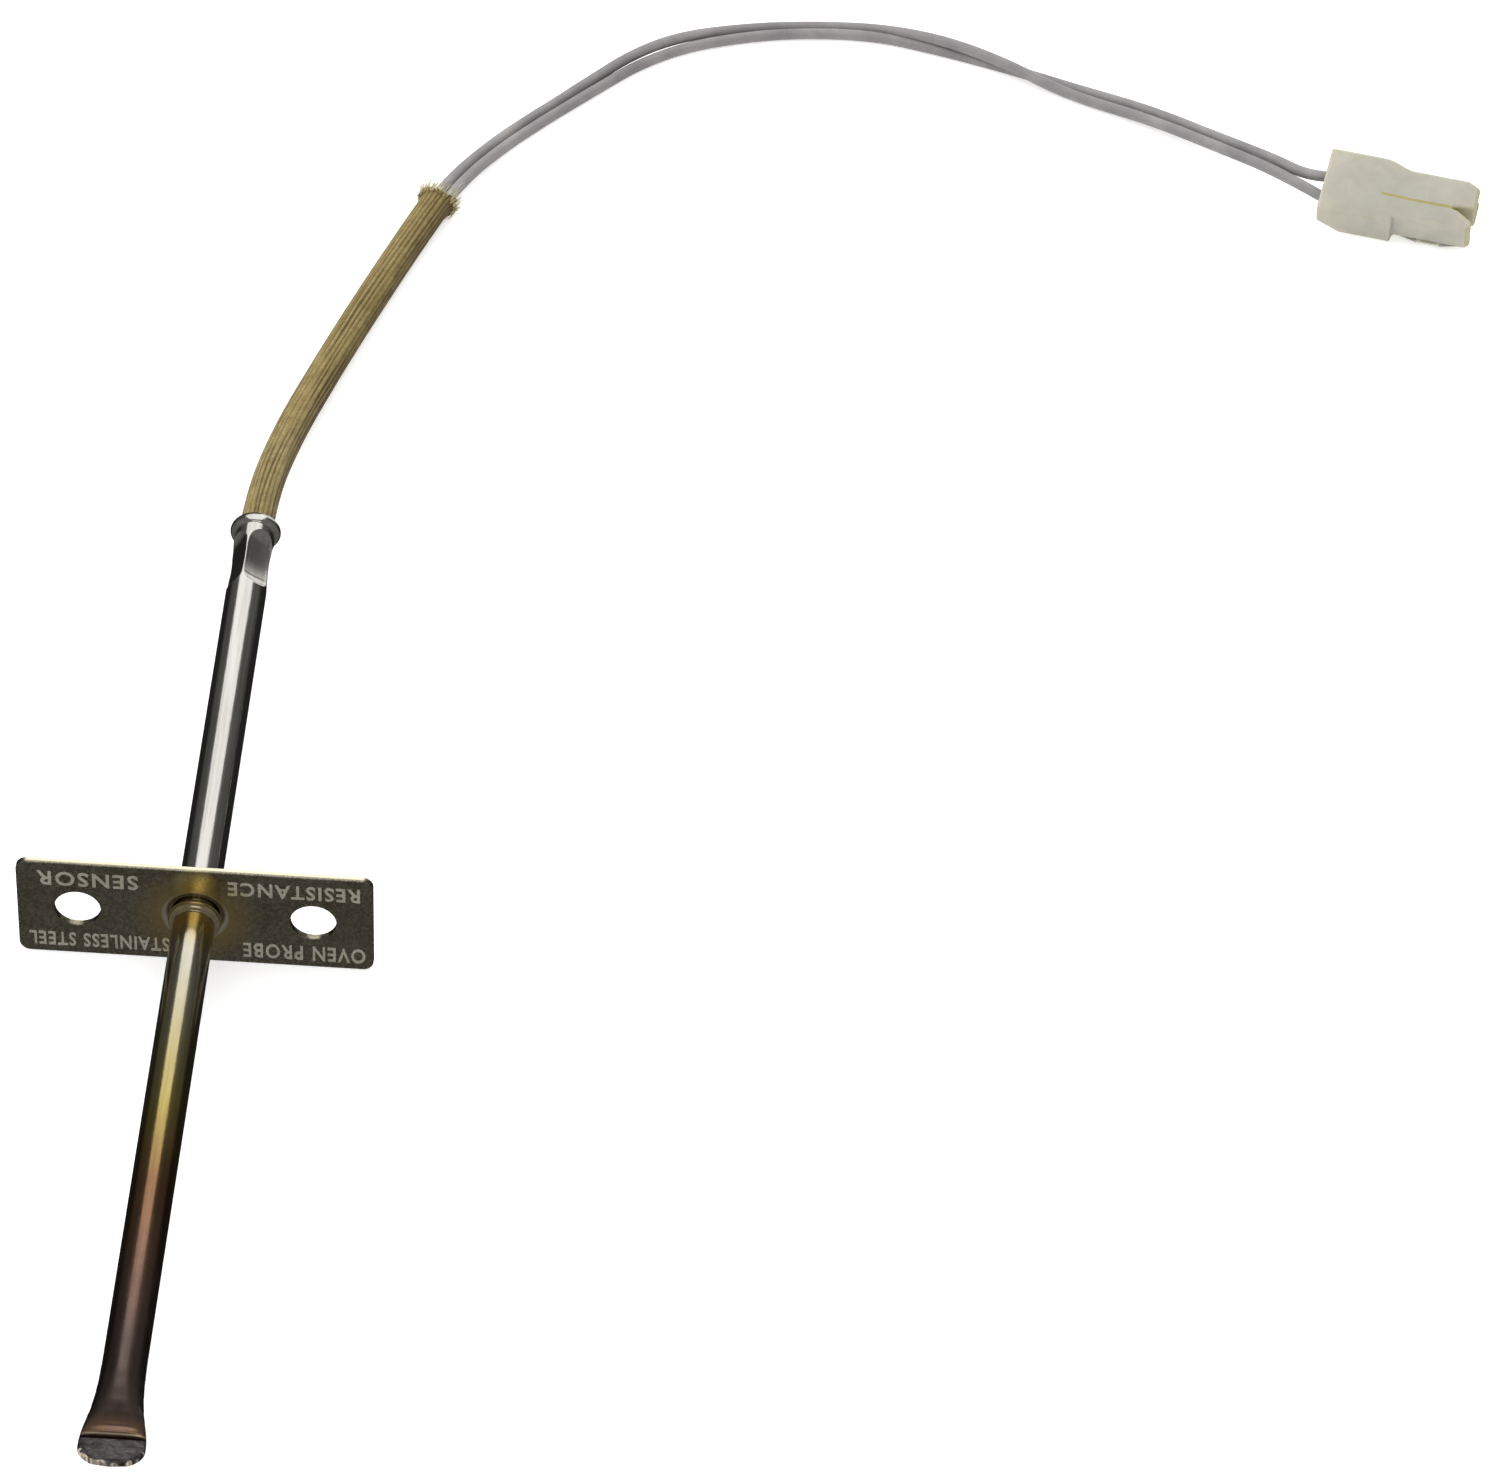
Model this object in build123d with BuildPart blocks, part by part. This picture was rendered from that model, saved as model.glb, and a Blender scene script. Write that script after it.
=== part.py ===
from build123d import *
from math import asin, cos, radians, sin, sqrt, tan
import os

# Temperature sensor probe for an oven or heating cavity: a closed stainless tube with a platinum
# element in its tip, a two-hole flange, and two leads in a braided sleeve that end in a two-way plug.
# Millimetres. The tube's axis is Y, with its tip at -Y. The origin is on that axis, at the flange's
# rear face. X runs along the flange and Z is up. The probe lies on its flange's long edge.

# ---- Driving dimensions ----
tube_r = 4.76 / 2
tube_wall = 0.30
bore_r = tube_r - tube_wall
tip_y = -80.9
mouth_y = 64.1

flange_length = 40.0
flange_height = 14.0
flange_t = 0.8
flange_corner_r = 1.3
screw_hole_r = 2.6
screw_spacing = 26.5
floor_z = -flange_height / 2

front_bead_r = 3.0
front_bead = (-2.3, -0.8)
rear_bead_r = 3.0
rear_bead = (61.7, 64.0)

lead_r = 0.70
core_r = 0.375
fit_gap = 0.02

sleeve_r = 2.05
sleeve_bore_r = 1.70

plug_length = 19.5
plug_roll = 16.0
plug_yaw = -11.7
silo_pitch = 4.2

# ---- Sheath ----
bore_overrun = 1.0
# The tip is pressed flat: (y, half width, half height) down the shoulder.
shoulder = [
    (-66.5, tube_r, tube_r),
    (-69.5, 2.44, 2.30),
    (-72.0, 2.60, 2.08),
    (-74.2, 2.90, 1.78),
    (-75.8, 3.22, 1.48),
    (-77.8, 3.51, 1.15),
]
flat_half_t = 0.55
flat_half_w = 3.6
flat_start_y = -77.4
flat_corner = (flat_half_w, -78.7)
flat_corner_mid = (3.36, -79.8)
tip_arc_start = (2.6, -80.35)
tip_arc_mid = (1.35, -80.76)

# Four jaws squeeze the tube square on the leads. Angles are from +Z towards +X.
jaw_angles = [32.5, 122.5, 212.5, 302.5]
jaw_depth_r = 1.76
jaw_flat = (54.1, 59.5)
jaw_end_r = 2.6
jaw_reach = 3.2


def cross_plane(y):
    """The plane across the tube at y, facing +Y."""
    return Plane(origin=(0, y, 0), x_dir=(1, 0, 0), z_dir=(0, 1, 0))


def bulge(start_y, end_y, top_r):
    """A rounded bead on the tube's outline."""
    return ThreePointArc((tube_r, start_y), (top_r, (start_y + end_y) / 2), (tube_r, end_y))


def shoulder_loft(inset, sections):
    """The shoulder from round tube to flat, drawn in by inset all round."""
    outlines = []
    for y, half_w, half_h in sections:
        with BuildSketch(cross_plane(y)) as outline:
            Ellipse(half_w - inset, half_h - inset)
        outlines.append(outline.sketch)
    loft(outlines)


def jaw_marks(inset):
    """Cuts the four flats, each running out in an arc at its ends."""
    depth = jaw_depth_r - inset
    rise = jaw_reach - depth
    end_r = jaw_end_r + inset
    run = sqrt(end_r**2 - (end_r - rise) ** 2)
    half_run = end_r * sin(asin(run / end_r) / 2)
    half_rise = end_r - sqrt(end_r**2 - half_run**2)
    front, rear = jaw_flat
    for angle in jaw_angles:
        facing = (cos(radians(angle)), 0, -sin(radians(angle)))
        with BuildSketch(Plane(origin=(0, 0, 0), x_dir=(0, 1, 0), z_dir=facing)) as mark:
            with BuildLine():
                ThreePointArc((front - run, jaw_reach), (front - half_run, depth + half_rise), (front, depth))
                Line((front, depth), (rear, depth))
                ThreePointArc((rear, depth), (rear + half_run, depth + half_rise), (rear + run, jaw_reach))
                Line((rear + run, jaw_reach), (front - run, jaw_reach))
            make_face()
        extrude(mark.sketch, amount=jaw_reach, both=True, mode=Mode.SUBTRACT)


with BuildPart() as sheath_bore:
    with BuildSketch(cross_plane(shoulder[0][0])):
        Circle(bore_r)
    extrude(amount=mouth_y - shoulder[0][0] + bore_overrun)
    jaw_marks(tube_wall)
    shoulder_loft(tube_wall, shoulder[:-1])

with BuildPart() as probe_sheath:
    with BuildSketch():
        with BuildLine():
            Polyline((tube_r, front_bead[0]), (tube_r, shoulder[0][0]), (0, shoulder[0][0]))
            Polyline((0, shoulder[0][0]), (0, mouth_y), (tube_r, mouth_y), (tube_r, rear_bead[1]))
            bulge(*front_bead, front_bead_r)
            Line((tube_r, front_bead[1]), (tube_r, rear_bead[0]))
            bulge(*rear_bead, rear_bead_r)
        make_face()
    revolve(axis=Axis.Y)
    jaw_marks(0)
    shoulder_loft(0, shoulder)
    with BuildSketch():
        with BuildLine():
            Polyline((0, flat_start_y), (shoulder[-1][1], flat_start_y), flat_corner)
            ThreePointArc(flat_corner, flat_corner_mid, tip_arc_start)
            ThreePointArc(tip_arc_start, tip_arc_mid, (0, tip_y))
            Line((0, tip_y), (0, flat_start_y))
        make_face()
        mirror(about=Plane.YZ)
    extrude(amount=flat_half_t, both=True)
    add(sheath_bore.part, mode=Mode.SUBTRACT)

# ---- Flange ----
collar_bore_r = tube_r + fit_gap
draw_r = 1.35
draw_rim_r = collar_bore_r + draw_r
collar_outer_r = 2.95
collar_y = 1.6
collar_foot_r = 0.5
draw_ring_r = draw_rim_r + 0.2

with BuildPart() as mounting_flange:
    with BuildSketch(Plane.XZ):
        RectangleRounded(flange_length, flange_height, flange_corner_r)
        Circle(draw_rim_r, mode=Mode.SUBTRACT)
        with GridLocations(screw_spacing, 0, 2, 1):
            Circle(screw_hole_r, mode=Mode.SUBTRACT)
    extrude(amount=flange_t)
    # The plate is drawn rearwards round the tube, so its front edge is rounded in.
    with BuildSketch():
        with BuildLine():
            rim = (draw_rim_r, -flange_t)
            throat = (collar_bore_r, draw_r - flange_t)
            foot = (collar_outer_r, collar_foot_r)
            foot_end = (collar_outer_r + collar_foot_r, 0)
            Line((draw_ring_r, -flange_t), rim)
            RadiusArc(rim, throat, draw_r)
            Polyline(throat, (collar_bore_r, collar_y), (collar_outer_r, collar_y), foot)
            RadiusArc(foot, foot_end, -collar_foot_r)
            Polyline(foot_end, (draw_ring_r, 0), (draw_ring_r, -flange_t))
        make_face()
    revolve(axis=Axis.Y)

# ---- Platinum element in the tip ----
wire_x = 0.85
wire_pair = [(-wire_x, 0), (wire_x, 0)]
element_lead_r = 0.20
chip = (2.4, 4.0, 0.65)
chip_y = -72.0
chip_top_z = -element_lead_r - 0.06
glass_size = (2.1, 2.5, 0.18)
glass_y = chip_y - 0.55
glass_corner_r = 0.15
bond_edge_r = 0.15
bond_y = (-71.2, -70.0)
bond_top_z = 0.45
cement_rear_y = -65.8

with BuildPart() as rtd_substrate:
    with Locations((0, chip_y, chip_top_z - chip[2] / 2)):
        Box(*chip)

with BuildPart() as rtd_glass_cover:
    with Locations((0, glass_y, chip_top_z + glass_size[2] / 2)):
        Box(*glass_size)
    fillet(rtd_glass_cover.edges().filter_by(Axis.Z), glass_corner_r)


def wire_holes(start_y, end_y, radius):
    """Cuts the two wires' bores between two stations."""
    with BuildSketch(cross_plane(start_y)) as holes:
        with Locations(*wire_pair):
            Circle(radius)
    extrude(holes.sketch, amount=end_y - start_y, mode=Mode.SUBTRACT)


with BuildPart() as lead_bond_glaze:
    bond_height = bond_top_z - chip_top_z
    with Locations((0, sum(bond_y) / 2, chip_top_z + bond_height / 2)):
        Box(chip[0], bond_y[1] - bond_y[0], bond_height)
    fillet(lead_bond_glaze.faces().sort_by(Axis.Z)[-1].edges(), bond_edge_r)
    wire_holes(bond_y[0], bond_y[1], element_lead_r)

with BuildPart() as tip_filler:
    shoulder_loft(tube_wall + fit_gap, shoulder[1:-1])
    with BuildSketch(cross_plane(shoulder[1][0])):
        Ellipse(*[half - tube_wall - fit_gap for half in shoulder[1][1:]])
    with BuildSketch(cross_plane(shoulder[0][0])):
        Circle(bore_r - fit_gap)
    loft()
    with BuildSketch(cross_plane(shoulder[0][0])):
        Circle(bore_r - fit_gap)
    extrude(amount=cement_rear_y - shoulder[0][0])
    with BuildSketch(Plane.YZ):
        with Locations((chip_y, (bond_top_z + chip_top_z - chip[2]) / 2)):
            Rectangle(chip[1], bond_top_z - chip_top_z + chip[2])
    extrude(amount=chip[0] / 2, both=True, mode=Mode.SUBTRACT)
    wire_holes(bond_y[1], cement_rear_y, element_lead_r)

# ---- Ceramic beads on the bare wires ----
bead_count = 4
bead_r = 1.80
bead_bore_r = 0.35
bead_start_y = -65.5
bead_end_y = 43.9
bead_gap = 0.2
bead_chamfer = 0.15
bead_length = (bead_end_y - bead_start_y - bead_gap * (bead_count - 1)) / bead_count

insulator_beads = {}
for index in range(bead_count):
    start_y = bead_start_y + index * (bead_length + bead_gap)
    with BuildPart() as bead:
        with BuildSketch(cross_plane(start_y)):
            Circle(bead_r)
            with Locations(*wire_pair):
                Circle(bead_bore_r, mode=Mode.SUBTRACT)
        extrude(amount=bead_length)
        chamfer(bead.edges().filter_by(GeomType.CIRCLE).group_by(SortBy.RADIUS)[-1], bead_chamfer)
    insulator_beads[f"insulator_bead_{index + 1}"] = bead

# ---- Splices from the bare wires to the leads ----
element_lead_end_y = 48.0
core_start_y = 48.5
barrel_y = (45.0, 51.5)
barrel_r = 0.575
splice_sleeve_y = (44.3, 52.9)
splice_sleeve_r = 0.84


def straight_tube(x, start_y, end_y, outer_r, inner_r=0.0):
    """A round rod or tube along Y at x."""
    with BuildPart() as tube:
        with BuildSketch(cross_plane(start_y)):
            with Locations((x, 0)):
                Circle(outer_r)
                if inner_r:
                    Circle(inner_r, mode=Mode.SUBTRACT)
        extrude(amount=end_y - start_y)
    return tube


splices = {}
for side, x in (("a", -wire_x), ("b", wire_x)):
    splices[f"element_lead_{side}"] = straight_tube(x, bond_y[0], element_lead_end_y, element_lead_r)
    splices[f"splice_barrel_{side}"] = straight_tube(x, *barrel_y, barrel_r, core_r + fit_gap)
    splices[f"splice_sleeve_{side}"] = straight_tube(x, *splice_sleeve_y, splice_sleeve_r, lead_r + fit_gap)

# ---- Plug ----
# The plug's own frame: x along it to the mating end, y across its two silos, z out of its upper face.
plug_body = (9.5, 9.6, 4.6)
yaw = radians(plug_yaw)
roll = radians(plug_roll)
plug_lift = 0.13
plug_rise = plug_body[1] / 2 * sin(roll) + plug_body[2] / 2 * cos(roll) + plug_lift
plug = Plane(
    origin=(127.3, 143.12, floor_z + plug_rise),
    x_dir=(cos(yaw), sin(yaw), 0),
    z_dir=(sin(roll) * sin(yaw), -sin(roll) * cos(yaw), cos(roll)),
)
plug_axis = Axis(plug.origin, plug.x_dir)
body_half = plug_body[1] / 2
silo_x = 10.8
silo_half = 4.2
silo_t = 4.0
tip_x = 18.6
tip_relief = 0.5
slot_half = 0.15
slot_x = 7.9
slot_mouth_x = 17.2
slot_depth = 0.6
slot_mouth_half = {1: 0.35, -1: 1.0}
far_shoulder_x = 7.4
hood = (4.2, 8.4, 3.4)
silo_bore = 2.9
silo_lip_x = 17.9
silo_lip = 2.3
# (start x, end x, width, height below the silo)
lug = (13.2, 18.8, 3.0, 0.6)
edge_r = 0.45


def plug_across(x):
    """The plane across the plug at x, facing its mating end."""
    return Plane(origin=plug.from_local_coords((x, 0, 0)), x_dir=plug.y_dir, z_dir=plug.x_dir)


def silo_outline(side):
    """One silo seen from above, on the side +1 or -1. The slot between the two opens at the tip."""
    return [
        (plug_body[0] - edge_r, side * slot_half),
        (slot_mouth_x, side * slot_half),
        (plug_length, side * slot_mouth_half[side]),
        (plug_length, side * (silo_half - tip_relief)),
        (tip_x, side * silo_half),
        (plug_body[0] - edge_r, side * silo_half),
    ]


with BuildPart() as connector_housing:
    with BuildSketch(plug.offset(-plug_body[2] / 2)):
        Polygon(
            (0, -body_half),
            (plug_body[0], -body_half),
            (plug_body[0], silo_half + edge_r),
            (far_shoulder_x, body_half),
            (0, body_half),
            align=None,
        )
    extrude(amount=plug_body[2])
    fillet(connector_housing.edges().filter_by(plug_axis), edge_r)
    with BuildSketch(plug.offset(-silo_t / 2)):
        for side in slot_mouth_half:
            Polygon(*silo_outline(side), align=None)
    extrude(amount=silo_t)
    # The far shoulder slopes in to the silo.
    with BuildSketch(plug.offset(-silo_t / 2)):
        Polygon(
            (plug_body[0] - edge_r, silo_half - edge_r),
            (plug_body[0] - edge_r, silo_half + edge_r),
            (silo_x, silo_half),
            (silo_x, silo_half - edge_r),
            align=None,
        )
    extrude(amount=silo_t)
    # Locking lug under the near silo, and the slot's shallow run-up on the body.
    with BuildSketch(plug.offset(-silo_t / 2)):
        with Locations(((lug[0] + lug[1]) / 2, -silo_half + lug[2] / 2)):
            Rectangle(lug[1] - lug[0], lug[2])
    extrude(amount=-lug[3])
    with BuildSketch(plug.offset(plug_body[2] / 2)):
        with Locations(((slot_x + plug_body[0]) / 2, 0)):
            Rectangle(plug_body[0] - slot_x, slot_half * 2)
    extrude(amount=-slot_depth, mode=Mode.SUBTRACT)
    # Hood at the wire end, then a square bore with a lip in each silo.
    with BuildSketch(plug_across(0)):
        RectangleRounded(hood[1], hood[2], edge_r)
    extrude(amount=hood[0], mode=Mode.SUBTRACT)
    with BuildSketch(plug_across(hood[0])):
        with GridLocations(silo_pitch, 0, 2, 1):
            Rectangle(silo_bore, silo_bore)
    extrude(amount=silo_lip_x - hood[0], mode=Mode.SUBTRACT)
    with BuildSketch(plug_across(silo_lip_x)):
        with GridLocations(silo_pitch, 0, 2, 1):
            Rectangle(silo_lip, silo_lip)
    extrude(amount=plug_length - silo_lip_x, mode=Mode.SUBTRACT)

# Contact stages: the jacket crimp, the core crimp and the socket, as (start x, end x, outer radius, bore)
crimp_gap = 0.03
contact_stages = [
    (3.9, 5.3, 0.95, lead_r + crimp_gap),
    (5.6, 8.0, 0.62, core_r + crimp_gap),
    (9.2, 17.4, 1.15, 0.85),
]
# Spines that join the stages: (start x, end x, lowest z, height)
contact_spines = [(3.9, 9.4, -1.1, 0.32), (5.6, 9.4, -1.1, 0.6)]
spine_width = 0.9
# The lance holds the contact in its silo: (start x, end x, lowest z, width, height)
lance = (12.0, 14.0, 1.0, 0.7, 0.35)

terminals = {}
for side_name, side in (("a", -1), ("b", 1)):
    silo_y = side * silo_pitch / 2
    with BuildPart() as terminal:
        for start_x, end_x, outer_r, bore in contact_stages:
            with BuildSketch(plug_across(start_x)):
                with Locations((silo_y, 0)):
                    Circle(outer_r)
            extrude(amount=end_x - start_x)
        for start_x, end_x, low_z, height in contact_spines:
            with BuildSketch(plug_across(start_x)):
                with Locations((silo_y, low_z + height / 2)):
                    Rectangle(spine_width, height)
            extrude(amount=end_x - start_x)
        lance_start, lance_end, lance_z, lance_width, lance_height = lance
        with BuildSketch(plug_across(lance_start)):
            with Locations((silo_y, lance_z + lance_height / 2)):
                Rectangle(lance_width, lance_height)
        extrude(amount=lance_end - lance_start)
        for start_x, end_x, outer_r, bore in contact_stages:
            with BuildSketch(plug_across(start_x)):
                with Locations((silo_y, 0)):
                    Circle(bore)
            extrude(amount=end_x - start_x, mode=Mode.SUBTRACT)
    terminals[f"terminal_{side_name}"] = terminal

# ---- Leads and sleeve ----
# Both leads leave the crimp side by side, sag to the floor inside the sleeve, swing round in one bend,
# lie over each other once, change sides in a low crossing, and rise to the plug.
lead_a_route = [
    (-0.85, 52.0, 0.0),
    (-0.85, 69.5, 0.0),
    (0.7, 85.6, -4.0),
    (3.8, 98.2, -4.95),
    (7.6, 110.9, -4.95),
    (11.8, 123.8, -4.95),
    (16.2, 136.3, -5.4),
    (22.0, 146.7, -6.3),
    (30.3, 156.4, -6.3),
    (40.6, 167.3, -5.2),
    (53.7, 172.9, -6.3),
    (67.5, 174.75, -6.2),
    (76.6, 173.1, -4.3),
    (85.3, 168.9, -4.3),
    (94.7, 163.7, -6.3),
    (104.6, 158.2, -5.9),
    (113.1, 152.7, -5.1),
    (120.0, 147.7, -4.2),
    (124.6, 143.2, -3.5),
    (129.24, 140.66, -3.91),
    (131.69, 140.15, -3.91),
]
lead_b_route = [
    (0.85, 52.0, 0.0),
    (0.85, 69.5, 0.0),
    (2.3, 85.4, -4.0),
    (5.4, 97.8, -4.95),
    (9.2, 110.3, -4.95),
    (13.4, 123.2, -4.95),
    (17.6, 135.7, -5.4),
    (23.2, 145.8, -6.3),
    (31.5, 155.4, -6.3),
    (41.4, 166.3, -6.3),
    (54.2, 171.4, -6.3),
    (67.5, 173.25, -6.3),
    (76.4, 172.3, -6.3),
    (85.7, 169.6, -6.3),
    (95.4, 165.15, -6.3),
    (105.4, 159.7, -5.9),
    (113.9, 154.1, -5.1),
    (121.0, 149.1, -4.0),
    (125.0, 145.0, -3.0),
    (130.06, 144.61, -2.76),
    (132.51, 144.1, -2.76),
]
sleeve_route = [
    (0.0, 61.4, 0.0),
    (0.0, 69.5, 0.0),
    (1.5, 85.5, -4.0),
    (4.6, 98.0, -4.95),
    (8.4, 110.6, -4.95),
    (12.6, 123.5, -4.95),
    (15.7, 132.3, -4.95),
]
# The jackets end inside the jacket crimps and the cores go on into the core crimps.
jacket_end_x = 4.9
core_end_x = 7.6
arc_share = 0.45


def corner_radii(points):
    """Each corner's arc, as large as its two runs allow."""
    radii = []
    for before, corner, after in zip(points, points[1:], points[2:]):
        run_in = Vector(*corner) - Vector(*before)
        run_out = Vector(*after) - Vector(*corner)
        half_turn = radians(run_in.get_angle(run_out)) / 2
        radii.append(arc_share * min(run_in.length, run_out.length) / tan(half_turn))
    return radii


def tube_along(label, points, radii, outer_r, inner_r=0.0):
    """A tube or rod along straight runs joined by tangent arcs. Prints its radii and volume."""
    with BuildPart() as tube:
        with BuildLine() as path:
            FilletPolyline(*points, radius=radii)
        with BuildSketch(Plane(origin=path.line @ 0, z_dir=path.line % 0)) as section:
            Circle(outer_r)
            if inner_r:
                Circle(inner_r, mode=Mode.SUBTRACT)
        sweep()
    length = sum(edge.length for edge in path.edges())
    expected = section.sketch.area * length
    print(label, "length", round(length, 2), "volume share", round(tube.part.volume / expected, 4))
    print(label, "radii", [round(radius, 1) for radius in radii])
    return tube


sleeve_radii = corner_radii(sleeve_route)
cords = {
    "braided_sleeve": tube_along("braided_sleeve", sleeve_route, sleeve_radii, sleeve_r, sleeve_bore_r)
}
for side_name, route in (("a", lead_a_route), ("b", lead_b_route)):
    radii = corner_radii(route)
    last_run = Vector(*route[-1]) - Vector(*route[-2])
    core_end = Vector(*route[-1]) + last_run.normalized() * (core_end_x - jacket_end_x)
    core_route = [(route[0][0], core_start_y, 0), *route[1:-1], tuple(core_end)]
    jacket = f"lead_jacket_{side_name}"
    core = f"lead_core_{side_name}"
    cords[jacket] = tube_along(jacket, route, radii, lead_r, core_r + fit_gap)
    cords[core] = tube_along(core, core_route, radii, core_r)

# ---- Write one file for each piece ----
pieces = {
    "probe_sheath": probe_sheath,
    "mounting_flange": mounting_flange,
    "rtd_substrate": rtd_substrate,
    "rtd_glass_cover": rtd_glass_cover,
    "lead_bond_glaze": lead_bond_glaze,
    "tip_filler": tip_filler,
    "connector_housing": connector_housing,
    **insulator_beads,
    **splices,
    **terminals,
    **cords,
}
os.makedirs("parts", exist_ok=True)
for name, piece in pieces.items():
    piece.part.label = name
    export_step(piece.part, f"parts/{name}.step")
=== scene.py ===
import bmesh
import bpy
import random
from math import atan2, ceil, cos, degrees, exp, floor, pi, radians, sin, sqrt, tan
from mathutils import Matrix, Vector, noise


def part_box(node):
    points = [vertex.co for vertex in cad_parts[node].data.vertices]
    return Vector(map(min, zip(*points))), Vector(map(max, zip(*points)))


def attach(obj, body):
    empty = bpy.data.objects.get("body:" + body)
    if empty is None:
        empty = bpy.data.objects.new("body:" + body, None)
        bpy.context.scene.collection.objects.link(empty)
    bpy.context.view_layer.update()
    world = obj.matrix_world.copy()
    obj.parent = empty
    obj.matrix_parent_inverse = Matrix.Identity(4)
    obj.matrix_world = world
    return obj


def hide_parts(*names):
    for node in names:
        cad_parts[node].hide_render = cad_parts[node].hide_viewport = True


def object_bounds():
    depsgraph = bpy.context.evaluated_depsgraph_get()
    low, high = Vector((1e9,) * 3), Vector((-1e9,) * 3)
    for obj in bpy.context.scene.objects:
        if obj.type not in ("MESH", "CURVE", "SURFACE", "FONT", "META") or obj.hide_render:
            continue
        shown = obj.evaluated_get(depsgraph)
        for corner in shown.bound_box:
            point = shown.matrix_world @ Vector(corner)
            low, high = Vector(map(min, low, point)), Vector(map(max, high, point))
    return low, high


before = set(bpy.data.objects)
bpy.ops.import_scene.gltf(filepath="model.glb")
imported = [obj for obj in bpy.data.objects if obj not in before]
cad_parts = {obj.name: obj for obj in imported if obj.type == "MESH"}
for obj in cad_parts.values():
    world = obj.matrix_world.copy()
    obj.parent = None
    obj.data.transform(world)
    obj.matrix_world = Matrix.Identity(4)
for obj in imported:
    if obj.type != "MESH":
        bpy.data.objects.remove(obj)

# Oven temperature sensor probe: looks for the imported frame. Sizes are in millimetres and are turned
# into metres when a mesh is made. The tube's axis is Y, with its tip at -Y, and +Z is up.
MM = 0.001
cad_low, cad_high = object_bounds()
scene = bpy.context.scene


def mm(point):
    """A frame point in millimetres."""
    return Vector(point) / MM


sheath_low, sheath_high = (mm(corner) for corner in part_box("probe_sheath"))
floor_z = cad_low.z


def add_object(name, data):
    """A new object with this data, in the scene."""
    made = bpy.data.objects.new(name, data)
    scene.collection.objects.link(made)
    return made


def evaluated_mesh(holder):
    """A new mesh of an object, as its curve, its text or its modifiers make it."""
    bpy.context.view_layer.update()
    return bpy.data.meshes.new_from_object(holder.evaluated_get(bpy.context.evaluated_depsgraph_get()))


# ---- Camera ----
camera_azimuth = 1.46
camera_elevation = 44.06
camera_roll = 2.44
camera_distance = 0.8169
camera_lens = 168
aim_offset = Vector((-0.00340, -0.00717, 0))


def place_camera():
    azimuth = radians(camera_azimuth)
    elevation = radians(camera_elevation)
    roll = radians(camera_roll)
    back = Vector((sin(azimuth) * cos(elevation), -cos(azimuth) * cos(elevation), sin(elevation)))
    level = Vector((0, 0, 1)).cross(back).normalized()
    upright = back.cross(level)
    right = level * cos(roll) + upright * sin(roll)
    up = upright * cos(roll) - level * sin(roll)
    centre = (cad_low + cad_high) / 2
    aim = Vector((centre.x, centre.y, floor_z)) + aim_offset
    data = bpy.data.cameras.new("camera")
    data.sensor_width = 36
    data.lens = camera_lens
    data.clip_start = 0.01
    camera = add_object("camera", data)
    turn = Matrix((right, up, back)).transposed().to_4x4()
    camera.matrix_world = Matrix.Translation(aim + back * camera_distance) @ turn
    scene.camera = camera


# ---- Mesh helpers ----
def make_object(name, vertices, faces, uvs=None, shades=None, smooth=True):
    """A mesh object from points in millimetres. uvs and shades hold a pair and a value for each point."""
    mesh = bpy.data.meshes.new(name)
    mesh.from_pydata([Vector(v) * MM for v in vertices], [], faces)
    if shades:
        layer = mesh.color_attributes.new(name="shade", type="FLOAT_COLOR", domain="POINT")
        for point, value in zip(layer.data, shades):
            point.color = (value, value, value, 1)
    if uvs:
        layer = mesh.uv_layers.new(name="along")
        for loop in mesh.loops:
            layer.data[loop.index].uv = uvs[loop.vertex_index]
    bm = bmesh.new()
    bm.from_mesh(mesh)
    bmesh.ops.recalc_face_normals(bm, faces=bm.faces)
    bm.to_mesh(mesh)
    bm.free()
    mesh.polygons.foreach_set("use_smooth", [smooth] * len(mesh.polygons))
    mesh.update()
    return add_object(name, mesh)


def ring_faces(ring_count, size, first=0, closed=False):
    """Quads between consecutive rings of one size. A closed stack joins its last ring to its first."""
    faces = []
    for ring in range(ring_count if closed else ring_count - 1):
        here = first + ring * size
        there = first + ((ring + 1) % ring_count) * size
        for k in range(size):
            turn = (k + 1) % size
            faces.append((here + k, here + turn, there + turn, there + k))
    return faces


def steps(start, end, spacing):
    """Evenly spaced values from start up to, but without, end."""
    count = max(1, ceil(abs(end - start) / spacing))
    return [start + (end - start) * k / count for k in range(count)]


def smooth_min(a, b, width):
    """The lower of two values, rounded over width where they meet."""
    share = max(0.0, min(1.0, 0.5 + (b - a) / (2 * width)))
    return b + (a - b) * share - width * share * (1 - share)


def smooth_step(low, high, value):
    share = max(0.0, min(1.0, (value - low) / (high - low)))
    return share * share * (3 - 2 * share)


def blend_table(table, value):
    """Reads a table of (value, result, ...) rows, eased from row to row."""
    if value <= table[0][0]:
        return table[0][1:]
    for low, high in zip(table, table[1:]):
        if value <= high[0]:
            share = smooth_step(low[0], high[0], value) * 0.5 + 0.5 * (value - low[0]) / (high[0] - low[0])
            return [a + (b - a) * share for a, b in zip(low[1:], high[1:])]
    return table[-1][1:]


def settle(piece, material, slot_name, *nodes):
    """Gives a new piece its material and body, and hides the CAD nodes that it stands for. slot_name is not
    used.
    """
    piece.data.materials.clear()
    piece.data.materials.append(material)
    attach(piece, "root")
    if nodes:
        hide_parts(*nodes)
    return piece


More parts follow.
